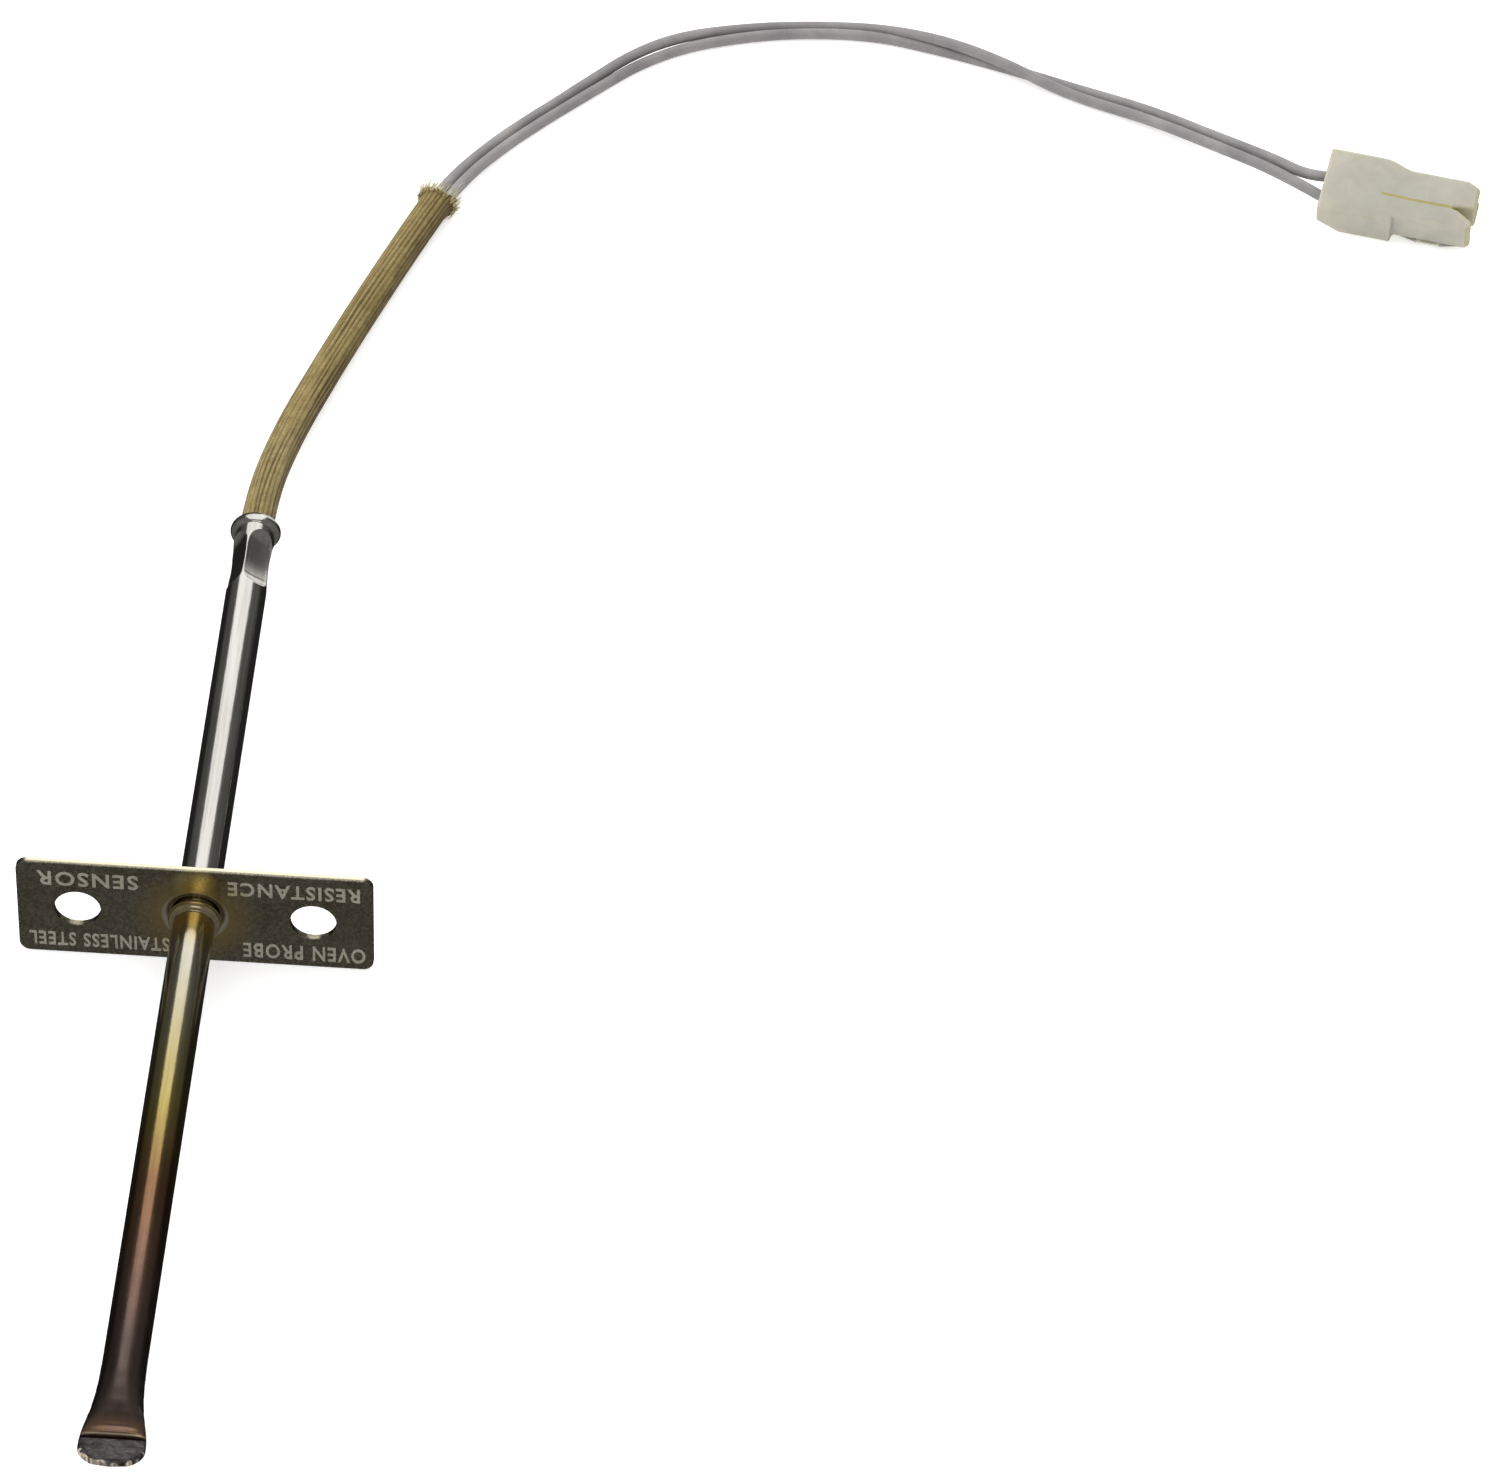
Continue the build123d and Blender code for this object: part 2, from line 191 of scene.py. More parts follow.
# ---- Materials ----
def colour_ramp(nodes, links, value, stops):
    """Colours along a value from 0 to 1: (position, (r, g, b))."""
    node = nodes.new("ShaderNodeValToRGB")
    elements = node.color_ramp.elements
    while len(elements) < len(stops):
        elements.new(0.5)
    for element, (position, colour) in zip(elements, stops):
        element.position = position
        element.color = (*colour, 1)
    links.new(value, node.inputs["Fac"])
    return node.outputs["Color"]


def mix_colours(nodes, links, share, first, second, blend="MIX"):
    """Mixes two colours, each an output or (r, g, b)."""
    node = nodes.new("ShaderNodeMix")
    node.data_type = "RGBA"
    node.blend_type = blend
    sockets = (node.inputs["Factor"], node.inputs[6], node.inputs[7])
    for socket, value in zip(sockets, (share, first, second)):
        if isinstance(value, tuple):
            socket.default_value = (*value, 1)
        elif isinstance(value, (int, float)):
            socket.default_value = value
        else:
            links.new(value, socket)
    return node.outputs[2]


class Shader:
    """A node material with one Principled shader, written in millimetres of the frame."""

    def __init__(self, name, **sockets):
        self.material = bpy.data.materials.new(name)
        self.material.use_nodes = True
        self.nodes = self.material.node_tree.nodes
        self.links = self.material.node_tree.links
        self.shader = self.nodes["Principled BSDF"]
        for socket, value in sockets.items():
            self.shader.inputs[socket.replace("_", " ")].default_value = value
        place = self.nodes.new("ShaderNodeTexCoord")
        scale = self.nodes.new("ShaderNodeVectorMath")
        scale.operation = "SCALE"
        scale.inputs["Scale"].default_value = 1 / MM
        self.links.new(place.outputs["Object"], scale.inputs[0])
        self.place = scale.outputs[0]
        self.uv = place.outputs["UV"]

    def stretched(self, x, y, z, source=None):
        """The place in millimetres, with each axis scaled."""
        node = self.nodes.new("ShaderNodeVectorMath")
        node.operation = "MULTIPLY"
        node.inputs[1].default_value = (x, y, z)
        self.links.new(source or self.place, node.inputs[0])
        return node.outputs[0]

    def axis(self, letter):
        node = self.nodes.new("ShaderNodeSeparateXYZ")
        self.links.new(self.place, node.inputs[0])
        return node.outputs[letter]

    def noise(self, size, detail=3.0, roughness=0.55, source=None, distortion=0.0):
        """Noise whose features are about size millimetres across."""
        node = self.nodes.new("ShaderNodeTexNoise")
        node.inputs["Scale"].default_value = 1 / size
        node.inputs["Detail"].default_value = detail
        node.inputs["Roughness"].default_value = roughness
        node.inputs["Distortion"].default_value = distortion
        self.links.new(source or self.place, node.inputs["Vector"])
        return node.outputs[0]

    def shade(self):
        """The value from 0 to 1 that the mesh carries at each point."""
        node = self.nodes.new("ShaderNodeAttribute")
        node.attribute_name = "shade"
        return node.outputs["Fac"]

    def reach(self):
        """The distance from the tube's axis in millimetres."""
        node = self.nodes.new("ShaderNodeVectorMath")
        node.operation = "LENGTH"
        self.links.new(self.stretched(1, 0, 1), node.inputs[0])
        return node.outputs["Value"]

    def remap(self, value, low, high, to_low=0.0, to_high=1.0):
        node = self.nodes.new("ShaderNodeMapRange")
        names = ("From Min", "From Max", "To Min", "To Max")
        for socket, number in zip(names, (low, high, to_low, to_high)):
            node.inputs[socket].default_value = number
        self.links.new(value, node.inputs["Value"])
        return node.outputs[0]

    def math(self, operation, first, second):
        node = self.nodes.new("ShaderNodeMath")
        node.operation = operation
        for socket, value in zip(node.inputs, (first, second)):
            if isinstance(value, (int, float)):
                socket.default_value = value
            else:
                self.links.new(value, socket)
        return node.outputs[0]

    def ramp(self, value, stops):
        return colour_ramp(self.nodes, self.links, value, stops)

    def mix(self, share, first, second, blend="MIX"):
        return mix_colours(self.nodes, self.links, share, first, second, blend)

    def bump(self, height, depth, strength=1.0, base=None):
        """Bump from a height of 0 to 1, depth millimetres deep."""
        node = self.nodes.new("ShaderNodeBump")
        node.inputs["Strength"].default_value = strength
        node.inputs["Distance"].default_value = depth * MM
        self.links.new(height, node.inputs["Height"])
        if base:
            self.links.new(base, node.inputs["Normal"])
        return node.outputs[0]

    def feed(self, **sockets):
        for socket, output in sockets.items():
            self.links.new(output, self.shader.inputs[socket.replace("_", " ")])
        return self.material


def tube_metal():
    """Drawn stainless, clean behind the flange and heat-tinted in front of it, darker towards the tip."""
    look = Shader("heat_tinted_stainless", Metallic=1.0)
    along = look.axis("Y")
    drift = look.math("MULTIPLY", look.math("SUBTRACT", look.noise(9.0, 2.0), 0.5), 7.0)
    span = (-81.0, 5.0)
    share = look.remap(look.math("ADD", along, drift), *span)

    def at(y):
        return (y - span[0]) / (span[1] - span[0])

    tint = look.ramp(share, [
        (at(-81.0), (0.185, 0.138, 0.124)),
        (at(-66.0), (0.182, 0.132, 0.116)),
        (at(-55.0), (0.262, 0.155, 0.110)),
        (at(-43.0), (0.325, 0.178, 0.090)),
        (at(-31.0), (0.500, 0.398, 0.126)),
        (at(-20.0), (0.560, 0.490, 0.285)),
        (at(-8.0), (0.610, 0.590, 0.490)),
        (at(-3.0), (0.640, 0.500, 0.230)),
        (at(1.5), (0.660, 0.645, 0.610)),
    ])
    streaks = look.noise(0.55, 4.0, 0.6, look.stretched(1, 0.035, 1))
    tint = look.mix(look.remap(streaks, 0.35, 0.75, 0.0, 0.35), tint, (0.30, 0.27, 0.22), "MULTIPLY")
    # A copper band down to the crease where the tip is pressed flat, with a painted highlight line along its
    # brink.
    copper = look.math("MULTIPLY", look.remap(along, -75.1, -76.7), look.remap(along, -77.45, -77.35))
    copper_colour = look.ramp(look.noise(1.3, 3.0, 0.6, look.stretched(1, 0.3, 1)), [
        (0.35, (0.42, 0.262, 0.135)),
        (0.65, (0.38, 0.225, 0.192)),
    ])
    tint = look.mix(copper, tint, copper_colour)
    brink_painted_highlight = look.math("MULTIPLY", look.remap(along, -77.17, -77.22), look.remap(along, -77.33, -77.29))
    tint = look.mix(brink_painted_highlight, tint, (0.72, 0.58, 0.44))
    # Grey-violet scale on the flat tip, and a painted shade, near black, in the crease.
    flat = look.remap(along, -77.34, -77.42)
    scale_colour = look.ramp(look.noise(0.75, 6.0, 0.72, look.stretched(0.7, 1.3, 1), 0.8), [
        (0.32, (0.070, 0.060, 0.060)),
        (0.47, (0.175, 0.153, 0.155)),
        (0.60, (0.235, 0.215, 0.215)),
        (0.72, (0.420, 0.385, 0.350)),
    ])
    tint = look.mix(flat, tint, scale_colour)
    crease_painted_shade = look.math("MULTIPLY", flat, look.remap(along, -77.86, -77.74))
    tint = look.mix(crease_painted_shade, tint, (0.030, 0.018, 0.012))
    # A painted highlight, with wear, along the edges that the jaws left, and straw-coloured wear along the
    # tip's front.
    edge = look.shade()
    wear_and_highlight_colour = look.mix(flat, (0.90, 0.89, 0.86), (0.86, 0.76, 0.62))
    tint = look.mix(edge, tint, wear_and_highlight_colour)
    blotches = look.noise(2.2, 5.0, 0.65, look.stretched(1, 0.4, 1))
    aged = look.remap(along, -5.0, -60.0)
    smear = look.math("MULTIPLY", look.remap(blotches, 0.3, 0.7, 0.0, 0.10), look.math("ADD", aged, 0.35))
    rough = look.math("ADD", smear, look.remap(along, -40.0, -72.0, 0.13, 0.26))
    rough = look.math("ADD", rough, look.math("MULTIPLY", flat, 0.20))
    rough = look.math("ADD", rough, look.math("MULTIPLY", edge, 0.30))
    metal = look.math("SUBTRACT", 1.0, look.math("MULTIPLY", look.math("MULTIPLY", edge, flat), 0.55))
    height = look.noise(0.16, 3.0, 0.6, look.stretched(1, 0.05, 1))
    normal = look.bump(height, 0.004)
    normal = look.bump(look.noise(0.35, 4.0, 0.7), 0.012, 0.5, normal)
    return look.feed(Base_Color=tint, Metallic=metal, Roughness=rough, Normal=normal)


def flange_metal(name="dark_flange_steel", painted_highlight_strokes=False):
    """Dark, grained plate with a straw tint near the tube, a painted golden reflection above it, a polished
    collar and a painted highlight on its top front edge.

    For the raised lettering it gives the same plate, paler and less shiny: the paler colour is a painted
    highlight.
    """
    look = Shader(name, Metallic=1.0)
    grain = look.noise(0.32, 5.0, 0.75)
    stains = look.noise(5.0, 4.0, 0.6)
    # The lettering's paler colour is a painted highlight.
    if painted_highlight_strokes:
        colour = look.ramp(grain, [(0.25, (0.42, 0.40, 0.32)), (0.70, (0.70, 0.67, 0.56))])
    else:
        colour = look.ramp(grain, [
            (0.25, (0.130, 0.114, 0.080)),
            (0.50, (0.325, 0.293, 0.220)),
            (0.78, (0.700, 0.650, 0.520)),
        ])
    colour = look.mix(look.remap(stains, 0.35, 0.7, 0.0, 0.45), colour, (0.66, 0.58, 0.44), "MULTIPLY")
    reach = look.reach()
    near = look.remap(reach, 7.5, 3.6, 0.0, 0.65)
    colour = look.mix(near, colour, (0.66, 0.47, 0.16))
    # A painted golden reflection in a column above the collar.
    above = look.remap(look.axis("Z"), 2.4, 3.2, 0.0, 0.75)
    painted_golden_reflection = look.math("MULTIPLY", look.remap(reach, 7.2, 6.0), above)
    beside = look.math("ABSOLUTE", look.math("ADD", look.axis("X"), -0.1), 0.0)
    painted_golden_reflection = look.math("MULTIPLY", painted_golden_reflection, look.remap(beside, 2.6, 1.5))
    colour = look.mix(painted_golden_reflection, colour, (1.0, 0.84, 0.40))
    polished = look.remap(reach, 3.85, 3.6)
    colour = look.mix(polished, colour, (0.78, 0.72, 0.56))
    # A painted highlight along the plate's top front edge.
    rim = look.remap(look.axis("Z"), 6.84, 6.94)
    edge = look.math("MULTIPLY", rim, look.remap(look.axis("Y"), -0.52, -0.40))
    colour = look.mix(edge, colour, (0.84, 0.79, 0.60))
    rough = look.remap(grain, 0.2, 0.8, 0.19, 0.33)
    rough = look.math("SUBTRACT", rough, look.math("MULTIPLY", polished, 0.04))
    normal = look.bump(grain, 0.006, 0.8)
    normal = look.bump(look.noise(0.9, 4.0), 0.020, 0.4, normal)
    if painted_highlight_strokes:
        look.shader.inputs["Metallic"].default_value = 0.55
        look.shader.inputs["Roughness"].default_value = 0.55
        return look.feed(Base_Color=colour, Normal=normal)
    return look.feed(Base_Color=colour, Roughness=rough, Normal=normal)


def braid_fabric():
    """Varnished glass-fibre sleeving, khaki, with painted shade in the grooves between its ribs and along
    its right-hand underside.
    """
    look = Shader("varnished_glass_braid", Roughness=0.66, Specular_IOR_Level=0.30, Sheen_Weight=0.10)
    strands = look.noise(0.010, 4.0, 0.6, look.stretched(1, 0.02, 1, look.uv))
    mottle = look.noise(1.8, 4.0, 0.6)
    colour = look.ramp(mottle, [
        (0.25, (0.320, 0.240, 0.078)),
        (0.50, (0.410, 0.322, 0.118)),
        (0.78, (0.515, 0.425, 0.172)),
    ])
    speckle = look.remap(look.noise(0.42, 4.0, 0.7), 0.35, 0.65, 0.0, 0.75)
    colour = look.mix(speckle, colour, (0.62, 0.56, 0.42), "MULTIPLY")
    colour = look.mix(look.remap(strands, 0.35, 0.65, 0.0, 0.60), colour, (0.45, 0.38, 0.24), "MULTIPLY")
    # The shade attribute darkens the grooves, sunken ribs and right-hand underside: painted shade.
    colour = look.mix(look.shade(), colour, (0.24, 0.18, 0.09), "MULTIPLY")
    return look.feed(Base_Color=colour, Normal=look.bump(strands, 0.04, 0.7))


def fray_fibre():
    look = Shader("frayed_glass_fibre", Roughness=0.5, Sheen_Weight=0.2)
    colour = look.ramp(look.noise(0.6, 3.0), [(0.3, (0.46, 0.40, 0.20)), (0.7, (0.78, 0.73, 0.48))])
    return look.feed(Base_Color=colour)


def lead_insulation():
    """Off-white high-temperature insulation with a faint woven skin and grey-lilac soiling."""
    look = Shader("white_lead_insulation", Roughness=0.45, Specular_IOR_Level=0.40)
    skin = look.noise(0.16, 4.0, 0.6)
    soil = look.noise(5.0, 4.0, 0.6)
    colour = look.ramp(soil, [
        (0.30, (0.270, 0.255, 0.263)),
        (0.52, (0.330, 0.314, 0.318)),
        (0.75, (0.420, 0.402, 0.388)),
    ])
    colour = look.mix(look.remap(skin, 0.35, 0.7, 0.0, 0.35), colour, (0.74, 0.71, 0.70), "MULTIPLY")
    return look.feed(Base_Color=colour, Normal=look.bump(skin, 0.03, 0.7))


def plug_nylon(name, hue=(1.0, 1.0, 1.0)):
    """Natural nylon: ivory, slightly translucent, with faint flow marks. hue tints it yellower, a painted
    glow of light through thin nylon.
    """
    look = Shader(name, Roughness=0.42, Subsurface_Weight=0.55, Subsurface_Scale=0.0016)
    look.shader.inputs["Subsurface Radius"].default_value = (1.0, 0.85, 0.55)
    flow = look.noise(3.2, 4.0, 0.6, distortion=0.6)
    colour = look.ramp(flow, [
        (0.30, (0.475, 0.465, 0.395)),
        (0.55, (0.530, 0.515, 0.440)),
        (0.78, (0.590, 0.560, 0.480)),
    ])
    colour = look.mix(1.0, colour, hue, "MULTIPLY")
    grain = look.noise(0.10, 3.0, 0.6)
    return look.feed(Base_Color=colour, Normal=look.bump(grain, 0.008, 0.5))


def plain_metal(name, colour, rough, size=0.15):
    """Drawn or plated metal with fine lines."""
    look = Shader(name, Metallic=1.0)
    lines = look.noise(size, 4.0, 0.6, look.stretched(1, 0.15, 1))
    shade = tuple(channel * 0.62 for channel in colour)
    tint = look.ramp(lines, [(0.3, shade), (0.65, colour)])
    return look.feed(
        Base_Color=tint,
        Roughness=look.remap(lines, 0.3, 0.7, rough, rough + 0.12),
        Normal=look.bump(lines, 0.006, 0.6),
    )


def mineral(name, dark, light, rough, size=0.5, depth=0.02):
    """Fired ceramic, glaze or cement with a speckled surface."""
    look = Shader(name)
    speckle = look.noise(size, 5.0, 0.65)
    fine = look.noise(size / 6, 3.0, 0.6)
    colour = look.ramp(speckle, [(0.3, dark), (0.7, light)])
    return look.feed(
        Base_Color=colour,
        Roughness=look.remap(fine, 0.3, 0.7, rough, min(1.0, rough + 0.15)),
        Normal=look.bump(fine, depth, 0.6),
    )


# ---- Routes, in metres ----
lead_a_route = [
    (-0.00085, 0.0520, 0.0000),
    (-0.00085, 0.0695, 0.0000),
    (0.0007, 0.0856, -0.0040),
    (0.0038, 0.0982, -0.00495),
    (0.0076, 0.1109, -0.00495),
    (0.0118, 0.1238, -0.00495),
    (0.0162, 0.1363, -0.0054),
    (0.0220, 0.1467, -0.0063),
    (0.0303, 0.1564, -0.0063),
    (0.0406, 0.1673, -0.0052),
    (0.0537, 0.1729, -0.0063),
    (0.0675, 0.1741, -0.0063),
    (0.0766, 0.1712, -0.0050),
    (0.0853, 0.1672, -0.0049),
    (0.0947, 0.1624, -0.0063),
    (0.1046, 0.1582, -0.0059),
    (0.1131, 0.1527, -0.0051),
    (0.1200, 0.1477, -0.0042),
    (0.1244, 0.1439, -0.0037),
    (0.1272, 0.1419, -0.0039),
    (0.12955, 0.14059, -0.00391),
    (0.13169, 0.14015, -0.00391),
]
lead_b_route = [
    (0.00085, 0.0520, 0.0000),
    (0.00085, 0.0695, 0.0000),
    (0.0023, 0.0854, -0.0040),
    (0.0054, 0.0978, -0.00495),
    (0.0092, 0.1103, -0.00495),
    (0.0134, 0.1232, -0.00495),
    (0.0176, 0.1357, -0.0054),
    (0.0232, 0.1458, -0.0063),
    (0.0315, 0.1554, -0.0063),
    (0.0414, 0.1663, -0.0063),
    (0.0542, 0.1714, -0.0063),
    (0.0675, 0.1727, -0.0063),
    (0.0764, 0.1706, -0.0063),
    (0.0857, 0.1676, -0.0063),
    (0.0954, 0.1638, -0.0063),
    (0.1054, 0.1597, -0.0059),
    (0.1139, 0.1541, -0.0051),
    (0.1210, 0.1491, -0.0040),
    (0.1250, 0.1450, -0.0030),
    (0.13006, 0.14461, -0.00276),
    (0.13251, 0.1441, -0.00276),
]
sleeve_route = [
    (0.0000, 0.0614, 0.0000),
    (0.0000, 0.0695, 0.0000),
    (0.0015, 0.0855, -0.0040),
    (0.0046, 0.0980, -0.00495),
    (0.0084, 0.1106, -0.00495),
    (0.0126, 0.1235, -0.00495),
    (0.0157, 0.1323, -0.00495),
]
lead_r = 0.70
core_r = 0.375
sleeve_r = 2.05
sleeve_bore_r = 1.70


def route_line(name, points, fineness):
    """The smooth line of a route: the points of a NURBS spline that has the route as control points."""
    curve = bpy.data.curves.new(name, "CURVE")
    curve.dimensions = "3D"
    curve.resolution_u = fineness
    spline = curve.splines.new("NURBS")
    spline.points.add(len(points) - 1)
    for control, point in zip(spline.points, points):
        control.co = (*point, 1)
    spline.order_u = 3
    spline.use_endpoint_u = True
    holder = add_object(name, curve)
    mesh = evaluated_mesh(holder)
    line = [vertex.co.copy() / MM for vertex in mesh.vertices]
    bpy.data.objects.remove(holder)
    bpy.data.curves.remove(curve)
    bpy.data.meshes.remove(mesh)
    return line


def above_floor(point, gap):
    """The point, pushed up where it would sink into the surface that the probe lies on."""
    lowest = floor_z / MM + 0.02 + gap
    return Vector((point.x, point.y, max(point.z, lowest)))


def travelling_frames(line):
    """For each point of a line: (distance along, point, side, up), with no twist."""
    frames = []
    travelled = 0.0
    side = None
    for index, point in enumerate(line):
        before = line[max(index - 1, 0)]
        after = line[min(index + 1, len(line) - 1)]
        ahead = (after - before).normalized()
        if side is None:
            side = ahead.cross(Vector((0, 0, 1))).normalized()
        side = (side - ahead * side.dot(ahead)).normalized()
        travelled += (point - before).length
        frames.append((travelled, point, side, side.cross(ahead)))
    return frames


def hose(name, line, outer, inner, around, shade=None, slip=None):
    """A closed tube along a line. outer and inner give its radii in millimetres, shade how dark it is, and
    slip how far its end is drawn out along the line, each from (distance, angle, end distance)."""
    frames = travelling_frames(line)
    end = frames[-1][0]
    vertices = []
    uvs = []
    shades = []
    angles = [2 * pi * k / around for k in range(around)]
    for rings, radius, shade_at, gap in ((frames, outer, shade, 0.0), (frames[::-1], inner, None, 0.10)):
        for travelled, point, side, up in rings:
            for angle in angles:
                drawn = up.cross(side) * slip(travelled, angle, end) if slip else Vector()
                reach = (side * cos(angle) + up * sin(angle)) * radius(travelled, angle, end)
                vertices.append(above_floor(point + drawn + reach, gap))
                uvs.append((angle / (2 * pi), travelled / 10))
                shades.append(shade_at(travelled, angle, end) if shade_at else 0.0)
    return make_object(name, vertices, ring_faces(2 * len(frames), around, closed=True), uvs, shades)


# ---- Leads ----
def jacket_skin(seed):
    """The outside of a jacket: a little uneven, with a faint two-ply weave and softened ends."""
    def skin(travelled, angle, end):
        spot = seed + Vector((cos(angle) * 0.5, sin(angle) * 0.5, travelled * 0.22))
        edge = min(travelled, end - travelled)
        ply = 0.006 * sin(angle * 2 + travelled * 2.2) * sin(angle * 2 - travelled * 2.2)
        return lead_r - 0.06 * exp(-edge / 0.06) + 0.022 * noise.noise(spot) + ply

    return skin


def jacket_bore(travelled, angle, end):
    return core_r + 0.02


def core_skin(travelled, angle, end):
    """The outside of a conductor: six strands that wind round it."""
    return core_r - 0.035 * (1 - abs(cos(3 * angle + travelled * 0.9)))


def core_bore(travelled, angle, end):
    return 0.02


def make_leads():
    insulation = lead_insulation()
    strand = plain_metal("nickel_strand", (0.62, 0.58, 0.52), 0.3, 0.08)
    leads = {}
    for letter, route, seed in (("a", lead_a_route, 3.7), ("b", lead_b_route, 19.2)):
        line = route_line(f"line_{letter}", route, 20)
        jacket = hose(f"lead_{letter}_insulation", line, jacket_skin(Vector((seed, 0, 0))), jacket_bore, 28)
        settle(jacket, insulation, "lead_insulation", f"lead_jacket_{letter}")
        core = hose(f"lead_{letter}_strand", line, core_skin, core_bore, 18)
        settle(core, strand, "nickel_strand", f"lead_core_{letter}")
        leads[letter] = (jacket, core, line)
    return leads


# ---- Sleeve ----
rib_count = 21
rib_depth = 0.14
stitch_pitch = 0.62
flare_length = 1.8
flare = 0.40
mouth_tuck = 0.22
held_run = (4.8, 7.5)


def tucked(travelled):
    """How far the sleeve is drawn in at its start, inside the tube."""
    return mouth_tuck * (1 - smooth_step(0.0, 1.0, travelled))


def rib_shape(travelled, angle):
    """How high the skin stands on its rib at this place, from 0 in the groove to 1, and the rib's number."""
    wander = 0.10 * noise.noise(Vector((travelled * 0.05, 2 * cos(angle), 2 * sin(angle))))
    phase = (angle + travelled * 0.006 + wander) * rib_count / (2 * pi)
    return abs(sin(pi * phase)), floor(phase)


def rib_lift(row, travelled):
    """Some ribs stand proud of their neighbours for a stretch."""
    return noise.noise(Vector((row % rib_count * 3.1, travelled * 0.05, 7.0)))


def sleeve_skin(travelled, angle, end):
    """Knitted ribs along the sleeve, each a row of small stitches, opening into a short flare."""
    rib, row = rib_shape(travelled, angle)
    stitch = 0.5 + 0.5 * cos(2 * pi * (travelled / stitch_pitch + 0.5 * rib + row * 0.37))
    stitches = 0.025 * (stitch - 1) * rib
    surface = rib_depth * (rib**0.7 - 1) + stitches + 0.05 * (rib_lift(row, travelled) - 0.3)
    open_share = smooth_step(end - flare_length, end, travelled)
    ragged = 1 + 0.35 * noise.noise(Vector((cos(angle) * 2.4, sin(angle) * 2.4, 3.0)))
    free = smooth_step(*held_run, travelled)
    tight = sleeve_r - 0.04 + surface * (0.45 + 0.55 * free) - tucked(travelled)
    return tight + flare * open_share**2 * (ragged + 0.55 * cos(angle) ** 2)


def sleeve_slip(travelled, angle, end):
    """The cut end is ragged, and its ribs stick out by different lengths."""
    row = rib_shape(travelled, angle)[1] % rib_count
    cut = 0.30 * noise.noise(Vector((1.6 * cos(angle), 1.6 * sin(angle), 11.0))) - 0.2 - 0.2 * sin(angle)
    return smooth_step(end - 1.2, end, travelled) * (cut + 0.34 * noise.noise(Vector((row * 2.3, 5.0, 1.0))))


def sleeve_painted_shade(travelled, angle, end):
    """Painted shade: 1 in the grooves, 0 on the crowns, more on sunken ribs and on the right-hand underside.
    """
    rib, row = rib_shape(travelled, angle)
    uneven = 0.75 + 1.1 * noise.noise(Vector((row % rib_count * 1.7, travelled * 0.10, 2.0)))
    dark = (1 - rib) ** 1.3 * uneven
    painted_underside_shade = 0.50 * smooth_step(0.35, 0.95, cos(angle + 0.35))
    return max(0.0, min(1.0, dark + 0.55 * max(0.0, -rib_lift(row, travelled)) + painted_underside_shade))


def sleeve_bore(travelled, angle, end):
    open_share = smooth_step(end - flare_length, end, travelled)
    near_lip = smooth_step(end - 0.5, end, travelled)
    opened = (flare + 0.16 + 0.5 * flare * cos(angle) ** 2) * open_share**2 * (1 - 0.12 * near_lip)
    return sleeve_bore_r + 0.02 * sin(11 * angle) - tucked(travelled) + opened


def make_sleeve():
    line = route_line("line_sleeve", sleeve_route, 72)
    sleeve = hose("glass_braid_sleeve", line, sleeve_skin, sleeve_bore, 192, sleeve_painted_shade, sleeve_slip)
    return settle(sleeve, braid_fabric(), "glass_braid", "braided_sleeve"), line


def strand_mesh(name, strands, sides=5):
    """Many fine bent strands in one mesh. Each is (list of points, radius), tapering to its end."""
    vertices = []
    faces = []
    for line, radius in strands:
        first = len(vertices)
        frames = travelling_frames(line)
        for index, (travelled, point, side, up) in enumerate(frames):
            taper = radius * (1 - 0.55 * index / (len(frames) - 1))
            for k in range(sides):
                angle = 2 * pi * k / sides
                vertices.append(point + (side * cos(angle) + up * sin(angle)) * taper)
        faces += ring_faces(len(frames), sides, first)
        faces.append(tuple(first + k for k in range(sides)))
        last = first + (len(frames) - 1) * sides
        faces.append(tuple(last + k for k in reversed(range(sides))))
    return make_object(name, vertices, faces)


def make_fray(line):
    """Loose fibre ends round the sleeve's open end."""
    rng = random.Random(41)
    centre, side, up = travelling_frames(line)[-1][1:]
    ahead = (line[-1] - line[-4]).normalized()
    strands = []
    for k in range(190):
        angle = rng.uniform(0, 2 * pi)
        outward = side * cos(angle) + up * sin(angle)
        around = up * cos(angle) - side * sin(angle)
        radius = rng.uniform(2.10, 2.38) + 0.22 * cos(angle) ** 2
        start = centre + outward * radius - ahead * rng.uniform(0.4, 1.1)
        reach = rng.uniform(0.7, 1.8) * (1.5 if rng.random() < 0.15 else 1.0)
        splay = rng.uniform(-0.1, 0.75)
        drift = rng.uniform(-0.5, 0.5)
        curl = rng.uniform(-0.35, 0.35)
        points = []
        for step in range(7):
            share = step / 6
            forward = ahead * reach * share
            sideways = outward * reach * splay * share**2 * 0.6
            swing = around * reach * (drift * share**2 + curl * share**3) * 0.6
            points.append(start + forward + sideways + swing)
        lowest = min(point.z for point in points)
        if lowest < floor_z / MM + 0.10:
            continue
        strands.append((points, rng.uniform(0.035, 0.075)))
    fray = strand_mesh("sleeve_fray", strands)
    return settle(fray, fray_fibre(), "glass_braid")


# ---- Sheath ----
tube_r = 2.38
tube_wall = 0.30
crimped_wall = 0.17
front_bead = (-2.3, -0.8)
mouth_round = 0.16
rear_bead = (62.4, 64.0)
rear_bead_flat = 0.32
bead_r = 3.0
jaw_angles = [32.5, 122.5, 212.5, 302.5]
jaw_depth = 1.76
jaw_flat = (54.1, 59.5)
jaw_end_r = 2.6
jaw_edge = 0.035
jaw_hollow = 0.15
jaw_dish = 0.13
jaw_half_w = 1.6
jaw_reach = (51.5, 62.2)
wear_highlight_width = 0.10
jaw_wear_highlight_end = (61.0, 60.2)
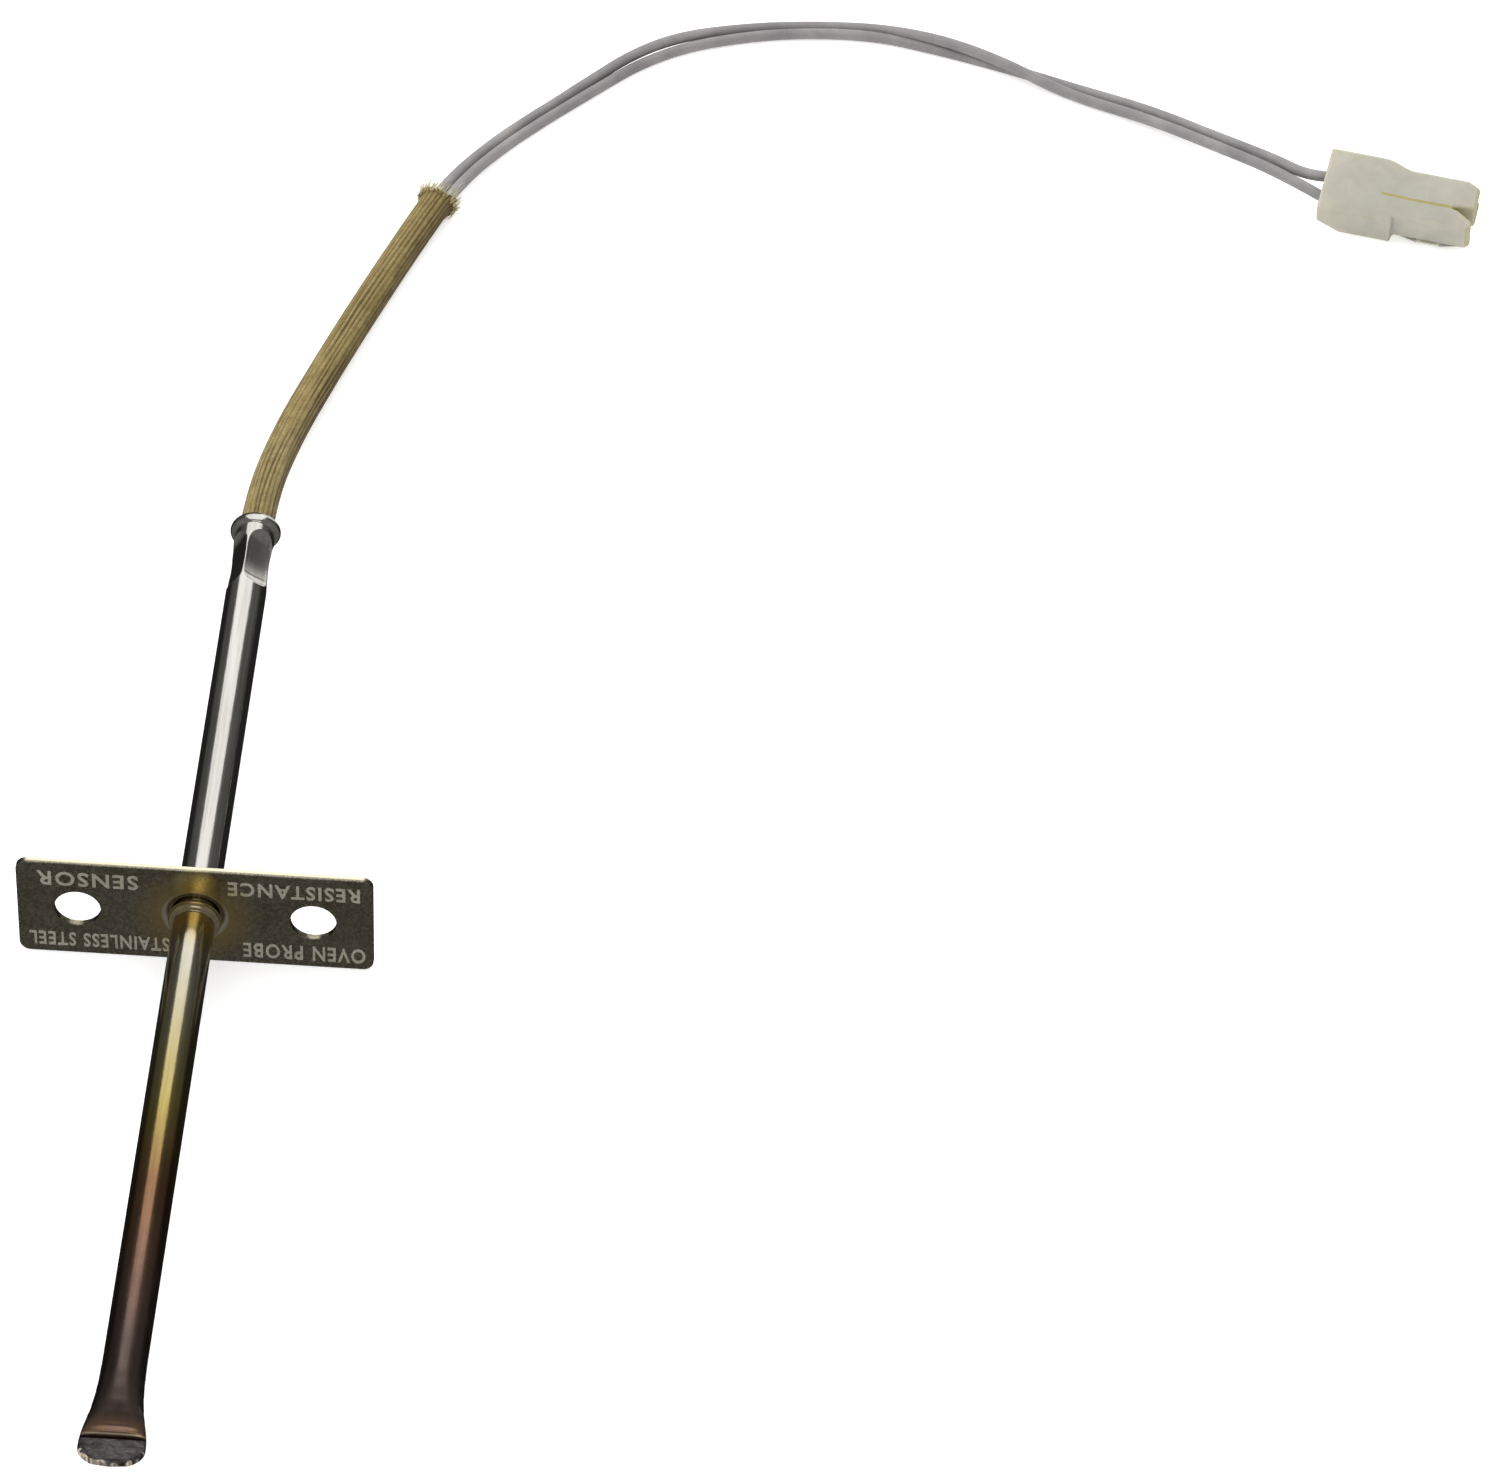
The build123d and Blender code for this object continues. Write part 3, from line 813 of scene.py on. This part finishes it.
# Down the pressed shoulder: (y, half width, half height, squareness)
shoulder = [
    (-80.9, 3.60, 0.55, 4.5),
    (-77.85, 3.555, 0.56, 4.5),
    (-77.55, 3.53, 0.43, 4.2),
    (-77.42, 3.515, 0.45, 4.0),
    (-77.30, 3.50, 0.72, 3.6),
    (-77.05, 3.465, 1.02, 3.1),
    (-76.60, 3.39, 1.34, 2.8),
    (-75.95, 3.27, 1.62, 2.55),
    (-75.20, 3.10, 1.88, 2.35),
    (-73.60, 2.80, 2.10, 2.15),
    (-71.60, 2.57, 2.25, 2.05),
    (-69.50, 2.44, 2.34, 2.0),
    (-66.50, 2.38, 2.38, 2.0),
]
tip_corner_y = -78.7
tip_power = 2.15
scaled_y = -77.5
tip_wear_y = -79.2
# Where the sheath's rings stand close together
near_front_bead = (-0.7, -2.4)
near_crease = (-76.3, -78.0)


def bead_radius(y, span, top_r):
    """The radius of a rounded bead, or 0 away from it."""
    middle = sum(span) / 2
    half = (span[1] - span[0]) / 2
    if abs(y - middle) >= half:
        return 0.0
    return tube_r + (top_r - tube_r) * (1 - (abs(y - middle) / half) ** 2.1) ** 0.55


def jaw_distance(y):
    """How far the jaws' flats stand from the axis at y."""
    run = min(max(jaw_flat[0] - y, y - jaw_flat[1], 0.0), jaw_end_r)
    middle = sum(jaw_flat) / 2
    off_middle = min(1.0, abs(y - middle) / (jaw_flat[1] - middle))
    return jaw_depth - jaw_dish * (1 - off_middle**2) + jaw_end_r - sqrt(jaw_end_r**2 - run**2)


def jawed(y, angle):
    """The tube's radius once the jaws have pressed it, and how near this is to an edge that they left."""
    # The rear bead is a little flat above and below.
    rear_r = bead_r - rear_bead_flat * sin(angle) ** 2
    radius = max(tube_r, bead_radius(y, front_bead, bead_r), bead_radius(y, rear_bead, rear_r))
    if y > sheath_high.y - mouth_round:
        radius -= mouth_round * smooth_step(sheath_high.y - mouth_round, sheath_high.y, y)
    wear_and_highlight = 0.0
    if jaw_reach[0] < y < jaw_reach[1]:
        from_top = degrees(atan2(cos(angle), sin(angle))) % 360
        for jaw in jaw_angles:
            off = radians((from_top - jaw + 180) % 360 - 180)
            if abs(off) < radians(75):
                across = min(1.0, jaw_distance(y) * tan(abs(off)) / jaw_half_w)
                pressed = (jaw_distance(y) - jaw_hollow * (1 - across**2)) / cos(off)
                # Near the jaw marks' edges this mask carries wear and a painted highlight.
                if abs(off) < radians(46):
                    wear_and_highlight = max(wear_and_highlight, exp(-(((radius - pressed) / wear_highlight_width) ** 2)))
                radius = smooth_min(radius, pressed, jaw_edge)
    return radius, wear_and_highlight * smooth_step(*jaw_wear_highlight_end, y)


def sheath_point(y, angle):
    """A point of the sheath's outside. angle runs from +X towards +Z."""
    if y <= shoulder[-1][0]:
        half_w, half_h, squareness = blend_table(shoulder, y)
        if y < tip_corner_y:
            run = (tip_corner_y - y) / (tip_corner_y - sheath_low.y)
            plan = max(0.0, 1 - run**tip_power) ** (1 / tip_power)
            half_w = max(0.05, half_w * plan)
            half_h = half_h * (0.45 + 0.55 * smooth_step(1.0, 0.80, run))
        c, s = cos(angle), sin(angle)
        x = half_w * abs(c) ** (2 / squareness) * (1 if c >= 0 else -1)
        z = half_h * abs(s) ** (2 / squareness) * (1 if s >= 0 else -1)
        if y < scaled_y:
            z += 0.035 * noise.noise(Vector((x * 0.9, y * 0.9, 5 if z > 0 else 9)))
        return Vector((x, y, z))
    radius = jawed(y, angle)[0]
    return Vector((radius * cos(angle), y, radius * sin(angle)))


def metal_wear_and_highlight(y, angle):
    """How bright the outside is painted: wear and a painted highlight along the edges of the jaw marks, and
    wear along the tip's front edge.
    """
    if y > jaw_reach[0]:
        return jawed(y, angle)[1]
    if y > tip_wear_y:
        return 0.0
    point = sheath_point(y, angle)
    run = (tip_corner_y - y) / (tip_corner_y - sheath_low.y)
    half_w = shoulder[0][1] * max(0.0, 1 - run**tip_power) ** (1 / tip_power)
    inward = min(half_w - abs(point.x), y - sheath_low.y)
    reach = 0.26 + 0.75 * noise.noise(Vector((point.x * 1.3, y * 1.8, 4.0))) - 0.05 * point.x
    wear_and_highlight = smooth_step(reach, 0.5 * reach, inward) if reach > 0.02 else 0.0
    return wear_and_highlight * (0.65 + 0.9 * noise.noise(Vector((point.x * 4.0, y * 4.0, 1.0))))


def bore_point(y, angle):
    """A point of the sheath's inside."""
    out = sheath_point(max(y, shoulder[-1][0]), angle)
    wall = crimped_wall if y > jaw_reach[0] else tube_wall
    radius = min(Vector((out.x, out.z)).length, tube_r) - wall
    if y > rear_bead[0]:
        radius = tube_r - tube_wall
    return Vector((radius * cos(angle), y, radius * sin(angle)))


def make_sheath():
    around = 180
    mouth = sheath_high.y
    tip = sheath_low.y
    round_end = shoulder[-1][0]
    stations = (
        steps(mouth, jaw_reach[0], 0.07) + steps(jaw_reach[0], near_front_bead[0], 1.5)
        + steps(*near_front_bead, 0.05) + steps(near_front_bead[1], round_end, 1.5)
        + steps(round_end, near_crease[0], 0.3) + steps(*near_crease, 0.04)
        + steps(near_crease[1], tip + 0.6, 0.12) + steps(tip + 0.6, tip + 0.10, 0.05)
        + [tip + back for back in (0.07, 0.045, 0.025, 0.012, 0.004, 0)]
    )
    angles = [2 * pi * k / around for k in range(around)]
    vertices = [sheath_point(y, angle) for y in stations for angle in angles]
    faces = ring_faces(len(stations), around)
    last = (len(stations) - 1) * around
    faces.append(tuple(last + k for k in range(around)))
    # The bore, from its closed front end back to the mouth.
    inner = steps(round_end + 0.1, jaw_reach[0], 4.0) + steps(jaw_reach[0], mouth, 0.3) + [mouth]
    first = len(vertices)
    shades = [metal_wear_and_highlight(y, angle) for y in stations for angle in angles] + [0.0] * (len(inner) * around)
    vertices += [bore_point(y, angle) for y in inner for angle in angles]
    faces += ring_faces(len(inner), around, first)
    faces.append(tuple(first + k for k in range(around)))
    lip = first + (len(inner) - 1) * around
    for k in range(around):
        turn = (k + 1) % around
        faces.append((k, turn, lip + turn, lip + k))
    sheath = make_object("sheath_tube", vertices, faces, shades=shades)
    return settle(sheath, tube_metal(), "stainless_tube", "probe_sheath")


# ---- Flange ----
flange_half = (20.0, 7.0)
flange_t = 0.8
flange_corner_r = 1.3
screw_hole_r = 2.6
screw_x = 13.25
edge_round = 0.12
draw_r = 1.35
collar_bore_r = 2.40
collar_outer_r = 2.95
collar_foot_r = 0.5
collar_y = 1.6


def plate_outline(inset):
    """The flange's outline in X and Z, drawn in by inset."""
    points = []
    radius = flange_corner_r - inset
    centre_x = flange_half[0] - flange_corner_r
    centre_z = flange_half[1] - flange_corner_r
    for quarter, (sign_x, sign_z) in enumerate([(1, 1), (-1, 1), (-1, -1), (1, -1)]):
        for k in range(11):
            angle = radians(90 * quarter + 9 * k)
            points.append((sign_x * centre_x + radius * cos(angle), sign_z * centre_z + radius * sin(angle)))
    return points


def circle_outline(x, radius, count=96):
    return [(x + radius * cos(2 * pi * k / count), radius * sin(2 * pi * k / count)) for k in range(count)]


def edge_profile(round_front, round_rear):
    """Across the plate's edge: (inset, y) from the front face to the rear face."""
    profile = []
    for k in range(6):
        angle = radians(18 * k)
        profile.append((round_front * (1 - sin(angle)), -flange_t + round_front * (1 - cos(angle))))
    for k in range(6):
        angle = radians(18 * k)
        profile.append((round_rear * (1 - cos(angle)), -round_rear * (1 - sin(angle))))
    return profile


def draw_profile():
    """Down the drawn collar: (radius, y) from the front face through the throat to the rear face."""
    profile = []
    rim_r = collar_bore_r + draw_r
    for k in range(17):
        angle = radians(90 * k / 16)
        profile.append((rim_r - draw_r * sin(angle), -flange_t + draw_r * (1 - cos(angle))))
    profile += [(collar_bore_r, collar_y - 0.08), (collar_bore_r + 0.08, collar_y)]
    profile += [(collar_outer_r - 0.08, collar_y), (collar_outer_r, collar_y - 0.08)]
    for k in range(9):
        angle = radians(90 * k / 8)
        foot = (collar_outer_r + collar_foot_r * (1 - cos(angle)), collar_foot_r * (1 - sin(angle)))
        profile.append(foot)
    return profile


def make_flange():
    mesh = bmesh.new()
    caps = {"front": [], "rear": []}

    def wall(outlines):
        rings = [[mesh.verts.new((x * MM, y * MM, z * MM)) for x, z in outline] for y, outline in outlines]
        for low, high in zip(rings, rings[1:]):
            for k in range(len(low)):
                turn = (k + 1) % len(low)
                mesh.faces.new((low[k], low[turn], high[turn], high[k]))
        caps["front"].append(rings[0])
        caps["rear"].append(rings[-1])

    rim = edge_profile(edge_round, 0.05)
    wall([(y, plate_outline(inset)) for inset, y in rim])
    for x in (-screw_x, screw_x):
        wall([(y, circle_outline(x, screw_hole_r + inset)) for inset, y in rim])
    wall([(y, circle_outline(0, radius, 144)) for radius, y in draw_profile()])
    for rings in caps.values():
        edges = []
        for ring in rings:
            for k in range(len(ring)):
                edges.append(mesh.edges.get((ring[k], ring[(k + 1) % len(ring)])))
        bmesh.ops.triangle_fill(mesh, edges=edges, use_beauty=True)
    bmesh.ops.recalc_face_normals(mesh, faces=mesh.faces)
    data = bpy.data.meshes.new("flange_plate")
    mesh.to_mesh(data)
    mesh.free()
    data.polygons.foreach_set("use_smooth", [True] * len(data.polygons))
    data.set_sharp_from_angle(angle=radians(25))
    return settle(add_object("flange_plate", data), flange_metal(), "flange_steel", "mounting_flange")


# Plain stamped words: (word, middle x, middle z, letter height, width)
stamped_words = [
    ("SENSOR", -11.9, 4.8, 2.10, 11.4),
    ("RESISTANCE", 11.2, 4.8, 2.05, 14.8),
    ("STAINLESS STEEL", -10.9, -4.75, 2.05, 15.8),
    ("OVEN PROBE", 12.2, -4.75, 2.20, 13.8),
]


def make_stamping():
    """Shallow raised lettering on the flange's front face, which reads the other way up."""
    pieces = []
    for word, x, z, height, width in stamped_words:
        data = bpy.data.curves.new("stamp", "FONT")
        data.body = word
        data.align_x = "CENTER"
        data.align_y = "CENTER"
        data.size = height * 1.42 * MM
        data.offset = 0.020 * MM
        data.extrude = 0.010 * MM
        data.bevel_depth = 0.045 * MM
        data.bevel_resolution = 2
        data.resolution_u = 3
        data.space_character = 1.15
        holder = add_object("stamp", data)
        mesh = evaluated_mesh(holder)
        bpy.data.objects.remove(holder)
        xs = [vertex.co.x for vertex in mesh.vertices]
        fit = width * MM / (max(xs) - min(xs))
        # Letters run towards -X and stand towards -Z, seen from -Y.
        turn = Matrix(((-fit, 0, 0), (0, 0, -1), (0, -1, 0))).to_4x4()
        mesh.transform(Matrix.Translation(Vector((x, -flange_t - 0.012, z)) * MM) @ turn)
        pieces.append(mesh)
    whole = bmesh.new()
    for mesh in pieces:
        whole.from_mesh(mesh)
    bmesh.ops.remove_doubles(whole, verts=whole.verts, dist=1e-7)
    bmesh.ops.recalc_face_normals(whole, faces=whole.faces)
    data = bpy.data.meshes.new("flange_stamping")
    whole.to_mesh(data)
    whole.free()
    return settle(add_object("flange_stamping", data), flange_metal("stamped_strokes_painted_highlight", True), "flange_steel")


# ---- Plug ----
plug_yaw = -11.7
plug_roll = 16.0
plug_body = (9.5, 9.6, 4.6)
plug_length = 19.5
socket_half = 3.85
socket_t = 4.0
socket_pitch = 4.2
slot_start = 7.5
slot_y = (-0.85, -0.45)
slot_floor = 1.35
web_x = 16.8
far_shoulder_x = (7.2, 10.9)
lug_x = (13.2, 15.4)
hood = ((-1.0, 4.2), (-4.2, 4.2), (-1.3, 1.7))
bore_x = (3.5, 17.9)
bore_half = (1.15, 1.45)
lip_x = (17.0, 20.5)
lip_half = (1.0, 1.15)
socket_end_x = 17.4
plug_place = Vector((127.3, 143.12, -3.336))


def plug_matrix():
    """The plug's own frame: x to its mating end, y across, z out of its upper face."""
    yaw, roll = radians(plug_yaw), radians(plug_roll)
    ahead = Vector((cos(yaw), sin(yaw), 0))
    upper = Vector((sin(roll) * sin(yaw), -sin(roll) * cos(yaw), cos(roll)))
    across = upper.cross(ahead)
    return Matrix.Translation(plug_place * MM) @ Matrix((ahead, across, upper)).transposed().to_4x4()


def prism(name, outline, low_z, high_z):
    """A closed prism in the plug's frame from an outline in its x and y."""
    count = len(outline)
    vertices = [(x, y, low_z) for x, y in outline] + [(x, y, high_z) for x, y in outline]
    faces = [tuple(reversed(range(count))), tuple(range(count, 2 * count))]
    faces += [(k, (k + 1) % count, count + (k + 1) % count, count + k) for k in range(count)]
    return make_object(name, vertices, faces, smooth=False)


def slab(name, x, y, z):
    """A closed box from three (low, high) spans."""
    return prism(name, [(x[0], y[0]), (x[1], y[0]), (x[1], y[1]), (x[0], y[1])], *z)


def applied(piece, kind, **settings):
    """Adds a modifier to a piece and applies it."""
    modifier = piece.modifiers.new(kind, kind)
    for key, value in settings.items():
        setattr(modifier, key, value)
    mesh = evaluated_mesh(piece)
    piece.modifiers.clear()
    old = piece.data
    piece.data = mesh
    bpy.data.meshes.remove(old)
    return piece


def combine(piece, others, operation):
    """Joins pieces to one, or cuts them from it, and removes them."""
    for other in others:
        applied(piece, "BOOLEAN", operation=operation, object=other, solver="EXACT")
        bpy.data.objects.remove(other)
    return piece


def plug_outline():
    """The housing seen from above: a broad rear body that narrows to two sockets with a notch between."""
    half = plug_body[1] / 2
    rear_x, front_x = far_shoulder_x
    shoulder_line = []
    for k in range(8):
        drawn_in = (half - socket_half) * (0.5 - 0.5 * cos(pi * k / 7))
        shoulder_line.append((front_x + (rear_x - front_x) * k / 7, socket_half + drawn_in))
    return [
        (0.0, -half), (plug_body[0], -half), (plug_body[0], -socket_half), (18.9, -socket_half),
        (plug_length, -socket_half + 0.5), (plug_length - 0.1, -2.2), (17.3, slot_y[0]),
        (web_x, slot_y[0]), (web_x, slot_y[1]), (17.3, slot_y[1]),
        (plug_length, slot_y[1] + 0.1), (plug_length, 3.0), (17.9, socket_half),
    ] + shoulder_line + [(0.0, half)]


def plug_profile():
    """The housing seen from its side: its top slopes gently down, and its rear is cut away below."""
    top, socket_top = plug_body[2] / 2, socket_t / 2
    return [
        (0.0, -0.6), (2.9, -top), (plug_body[0], -top), (plug_body[0], -socket_top),
        (plug_length, -socket_top), (plug_length, socket_top), (11.0, socket_top), (6.5, top), (0.0, top),
    ]


def make_plug():
    top, bottom = plug_body[2] / 2, -plug_body[2] / 2
    body = prism("plug_housing", plug_outline(), bottom - 1, top + 1)
    side_view = prism("side_view", plug_profile(), -plug_body[1], plug_body[1])
    side_view.data.transform(Matrix.Rotation(radians(90), 4, "X"))
    combine(body, [side_view], "INTERSECT")
    lug = slab("lug", lug_x, (-socket_half + 0.01, -1.2), (-socket_t / 2 - 0.6, -socket_t / 2 + 0.4))
    combine(body, [lug], "UNION")
    applied(body, "BEVEL", width=0.36 * MM, segments=4, limit_method="ANGLE", angle_limit=radians(40),
            use_clamp_overlap=False)
    cuts = [
        slab("slot", (slot_start, web_x + 0.3), slot_y, (slot_floor, top + 1)),
        slab("slot_low", (8.0, web_x + 0.3), slot_y, (bottom - 1, -slot_floor)),
        slab("hood", *hood),
    ]
    for side in (-1, 1):
        y = side * socket_pitch / 2
        for name, x, (half_w, half_h) in (("bore", bore_x, bore_half), ("lip", lip_x, lip_half)):
            cuts.append(slab(name, x, (y - half_w, y + half_w), (-half_h, half_h)))
    combine(body, cuts, "DIFFERENCE")
    body.data.transform(plug_matrix())
    body.data.polygons.foreach_set("use_smooth", [True] * len(body.data.polygons))
    body.data.set_sharp_from_angle(angle=radians(32))
    settle(body, plug_nylon("natural_nylon"), "plug_nylon", "connector_housing")
    # Where the nylon is thin, between the sockets and at their ends, a yellower colour paints in the glow of
    # light through it.
    body.data.materials.append(plug_nylon("thin_nylon_painted_glow", (0.90, 0.84, 0.40)))
    body.data.materials.append(plug_nylon("socket_end_nylon_painted_glow", (0.93, 0.92, 0.76)))
    to_plug = plug_matrix().inverted()
    for face in body.data.polygons:
        place = to_plug @ face.center / MM
        if slot_y[0] - 0.03 < place.y < slot_y[1] + 0.03 and slot_start - 0.1 < place.x < socket_end_x:
            face.material_index = 1
        elif place.x > socket_end_x:
            face.material_index = 2
    return body


# ---- CAD nodes that keep their shape ----
def dress_inner_nodes():
    alumina = mineral("alumina", (0.62, 0.60, 0.54), (0.80, 0.79, 0.74), 0.55)
    glaze = mineral("blue_glass_glaze", (0.10, 0.16, 0.21), (0.22, 0.31, 0.37), 0.10, 0.4, 0.004)
    cement = mineral("ceramic_cement", (0.42, 0.38, 0.31), (0.66, 0.62, 0.53), 0.85, 0.8, 0.08)
    wire = plain_metal("nickel_wire", (0.60, 0.56, 0.50), 0.28)
    contact = plain_metal("tinned_contact", (0.72, 0.66, 0.50), 0.26)
    woven = mineral("woven_splice_sleeve", (0.42, 0.35, 0.20), (0.62, 0.55, 0.38), 0.75, 0.3, 0.05)
    dressed = {
        "rtd_substrate": alumina, "insulator_bead_1": alumina, "insulator_bead_2": alumina,
        "insulator_bead_3": alumina, "insulator_bead_4": alumina,
        "rtd_glass_cover": glaze, "lead_bond_glaze": glaze, "tip_filler": cement,
        "element_lead_a": wire, "element_lead_b": wire, "splice_barrel_a": wire, "splice_barrel_b": wire,
        "terminal_a": contact, "terminal_b": contact, "splice_sleeve_a": woven, "splice_sleeve_b": woven,
    }
    for node, material in dressed.items():
        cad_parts[node].data.materials.clear()
        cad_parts[node].data.materials.append(material)


# ---- Stage and light ----
def make_stage():
    data = bpy.data.meshes.new("floor")
    size = 6.0
    corners = [(x, y, floor_z) for x, y in ((-size, -size), (size, -size), (size, size), (-size, size))]
    data.from_pydata(corners, [], [(0, 1, 2, 3)])
    ground = add_object("floor", data)
    paper = Shader("pale_paper", Roughness=0.9, Emission_Strength=0.55)
    paper.shader.inputs["Emission Color"].default_value = (1, 1, 1, 1)
    tone = paper.ramp(paper.noise(40.0), [(0.3, (0.86, 0.86, 0.85)), (0.7, (0.88, 0.88, 0.87))])
    paper.feed(Base_Color=tone)
    ground.data.materials.append(paper.material)
    ground.visible_glossy = False


def area_light(name, place, look_at, width, height, power):
    """A soft panel that polished metal mirrors. The sun and the sky light everything else."""
    data = bpy.data.lights.new(name, "AREA")
    data.shape = "RECTANGLE"
    data.size, data.size_y = width, height
    data.energy = power
    lamp = add_object(name, data)
    lamp.location = place
    lamp.rotation_euler = (Vector(look_at) - Vector(place)).to_track_quat("-Z", "Y").to_euler()
    lamp.visible_camera = False
    lamp.visible_diffuse = False


def sky_ramp(nodes, links, height, stops):
    """The sky's brightness by height: (height from -1 to 1, value)."""
    colours = [(0.5 + level / 2, (value, value, value * 0.99)) for level, value in stops]
    return colour_ramp(nodes, links, height, colours)


def eased_share(nodes, links, value, low, high):
    """How far a value has come from low to high, from 0 to 1 and eased at both ends."""
    node = nodes.new("ShaderNodeMapRange")
    node.interpolation_type = "SMOOTHSTEP"
    node.inputs["From Min"].default_value = low
    node.inputs["From Max"].default_value = high
    links.new(value, node.inputs["Value"])
    return node.outputs[0]


def make_sky():
    """A dim studio, darkest low down behind the probe."""
    world = bpy.data.worlds.new("studio")
    scene.world = world
    world.use_nodes = True
    nodes, links = world.node_tree.nodes, world.node_tree.links
    place = nodes.new("ShaderNodeTexCoord")
    split = nodes.new("ShaderNodeSeparateXYZ")
    links.new(place.outputs["Generated"], split.inputs[0])
    height = nodes.new("ShaderNodeMapRange")
    height.inputs["From Min"].default_value = -1
    links.new(split.outputs["Z"], height.inputs["Value"])
    behind = sky_ramp(nodes, links, height.outputs[0], [
        (-1.0, 0.02), (-0.05, 0.02), (0.12, 0.09), (0.45, 0.10), (0.70, 0.16), (1.0, 0.18),
    ])
    before = sky_ramp(nodes, links, height.outputs[0], [
        (-1.0, 0.13), (-0.30, 0.15), (0.0, 0.16), (0.35, 0.20), (0.75, 0.18), (1.0, 0.18),
    ])
    nearer = eased_share(nodes, links, split.outputs["Y"], 0.55, 0.05)
    studio = mix_colours(nodes, links, nearer, behind, before)
    # A pale wall far behind, to the right, shows only in the ends of the jaw marks.
    wall = nodes.new("ShaderNodeMath")
    wall.operation = "MULTIPLY"
    links.new(eased_share(nodes, links, split.outputs["Y"], 0.75, 0.90), wall.inputs[0])
    links.new(eased_share(nodes, links, split.outputs["X"], 0.02, 0.20), wall.inputs[1])
    lit = mix_colours(nodes, links, wall.outputs[0], studio, (1.10, 1.10, 1.09))
    links.new(lit, nodes["Background"].inputs["Color"])


def make_light():
    area_light("key_panel", (-0.006, 0.1264, 0.132), (-0.006, -0.01, 0), 0.145, 0.18, 0.095)
    area_light("front_panel", (0.05, -0.72, 0.90), (0.05, 0.0, 0), 0.7, 0.6, 0.95)
    soft = bpy.data.lights.new("soft_sky", "SUN")
    soft.energy = 3.55
    soft.angle = radians(130)
    lamp = add_object("soft_sky", soft)
    lamp.rotation_euler = Vector((0.25, -0.45, -0.85)).to_track_quat("-Z", "Y").to_euler()
    lamp.visible_glossy = False
    make_sky()
    scene.view_settings.view_transform = "Standard"


# ---- Build ----
place_camera()
leads = make_leads()
sleeve, sleeve_line = make_sleeve()
fray = make_fray(sleeve_line)
plug = make_plug()
make_sheath()
make_flange()
make_stamping()
dress_inner_nodes()
make_stage()
make_light()
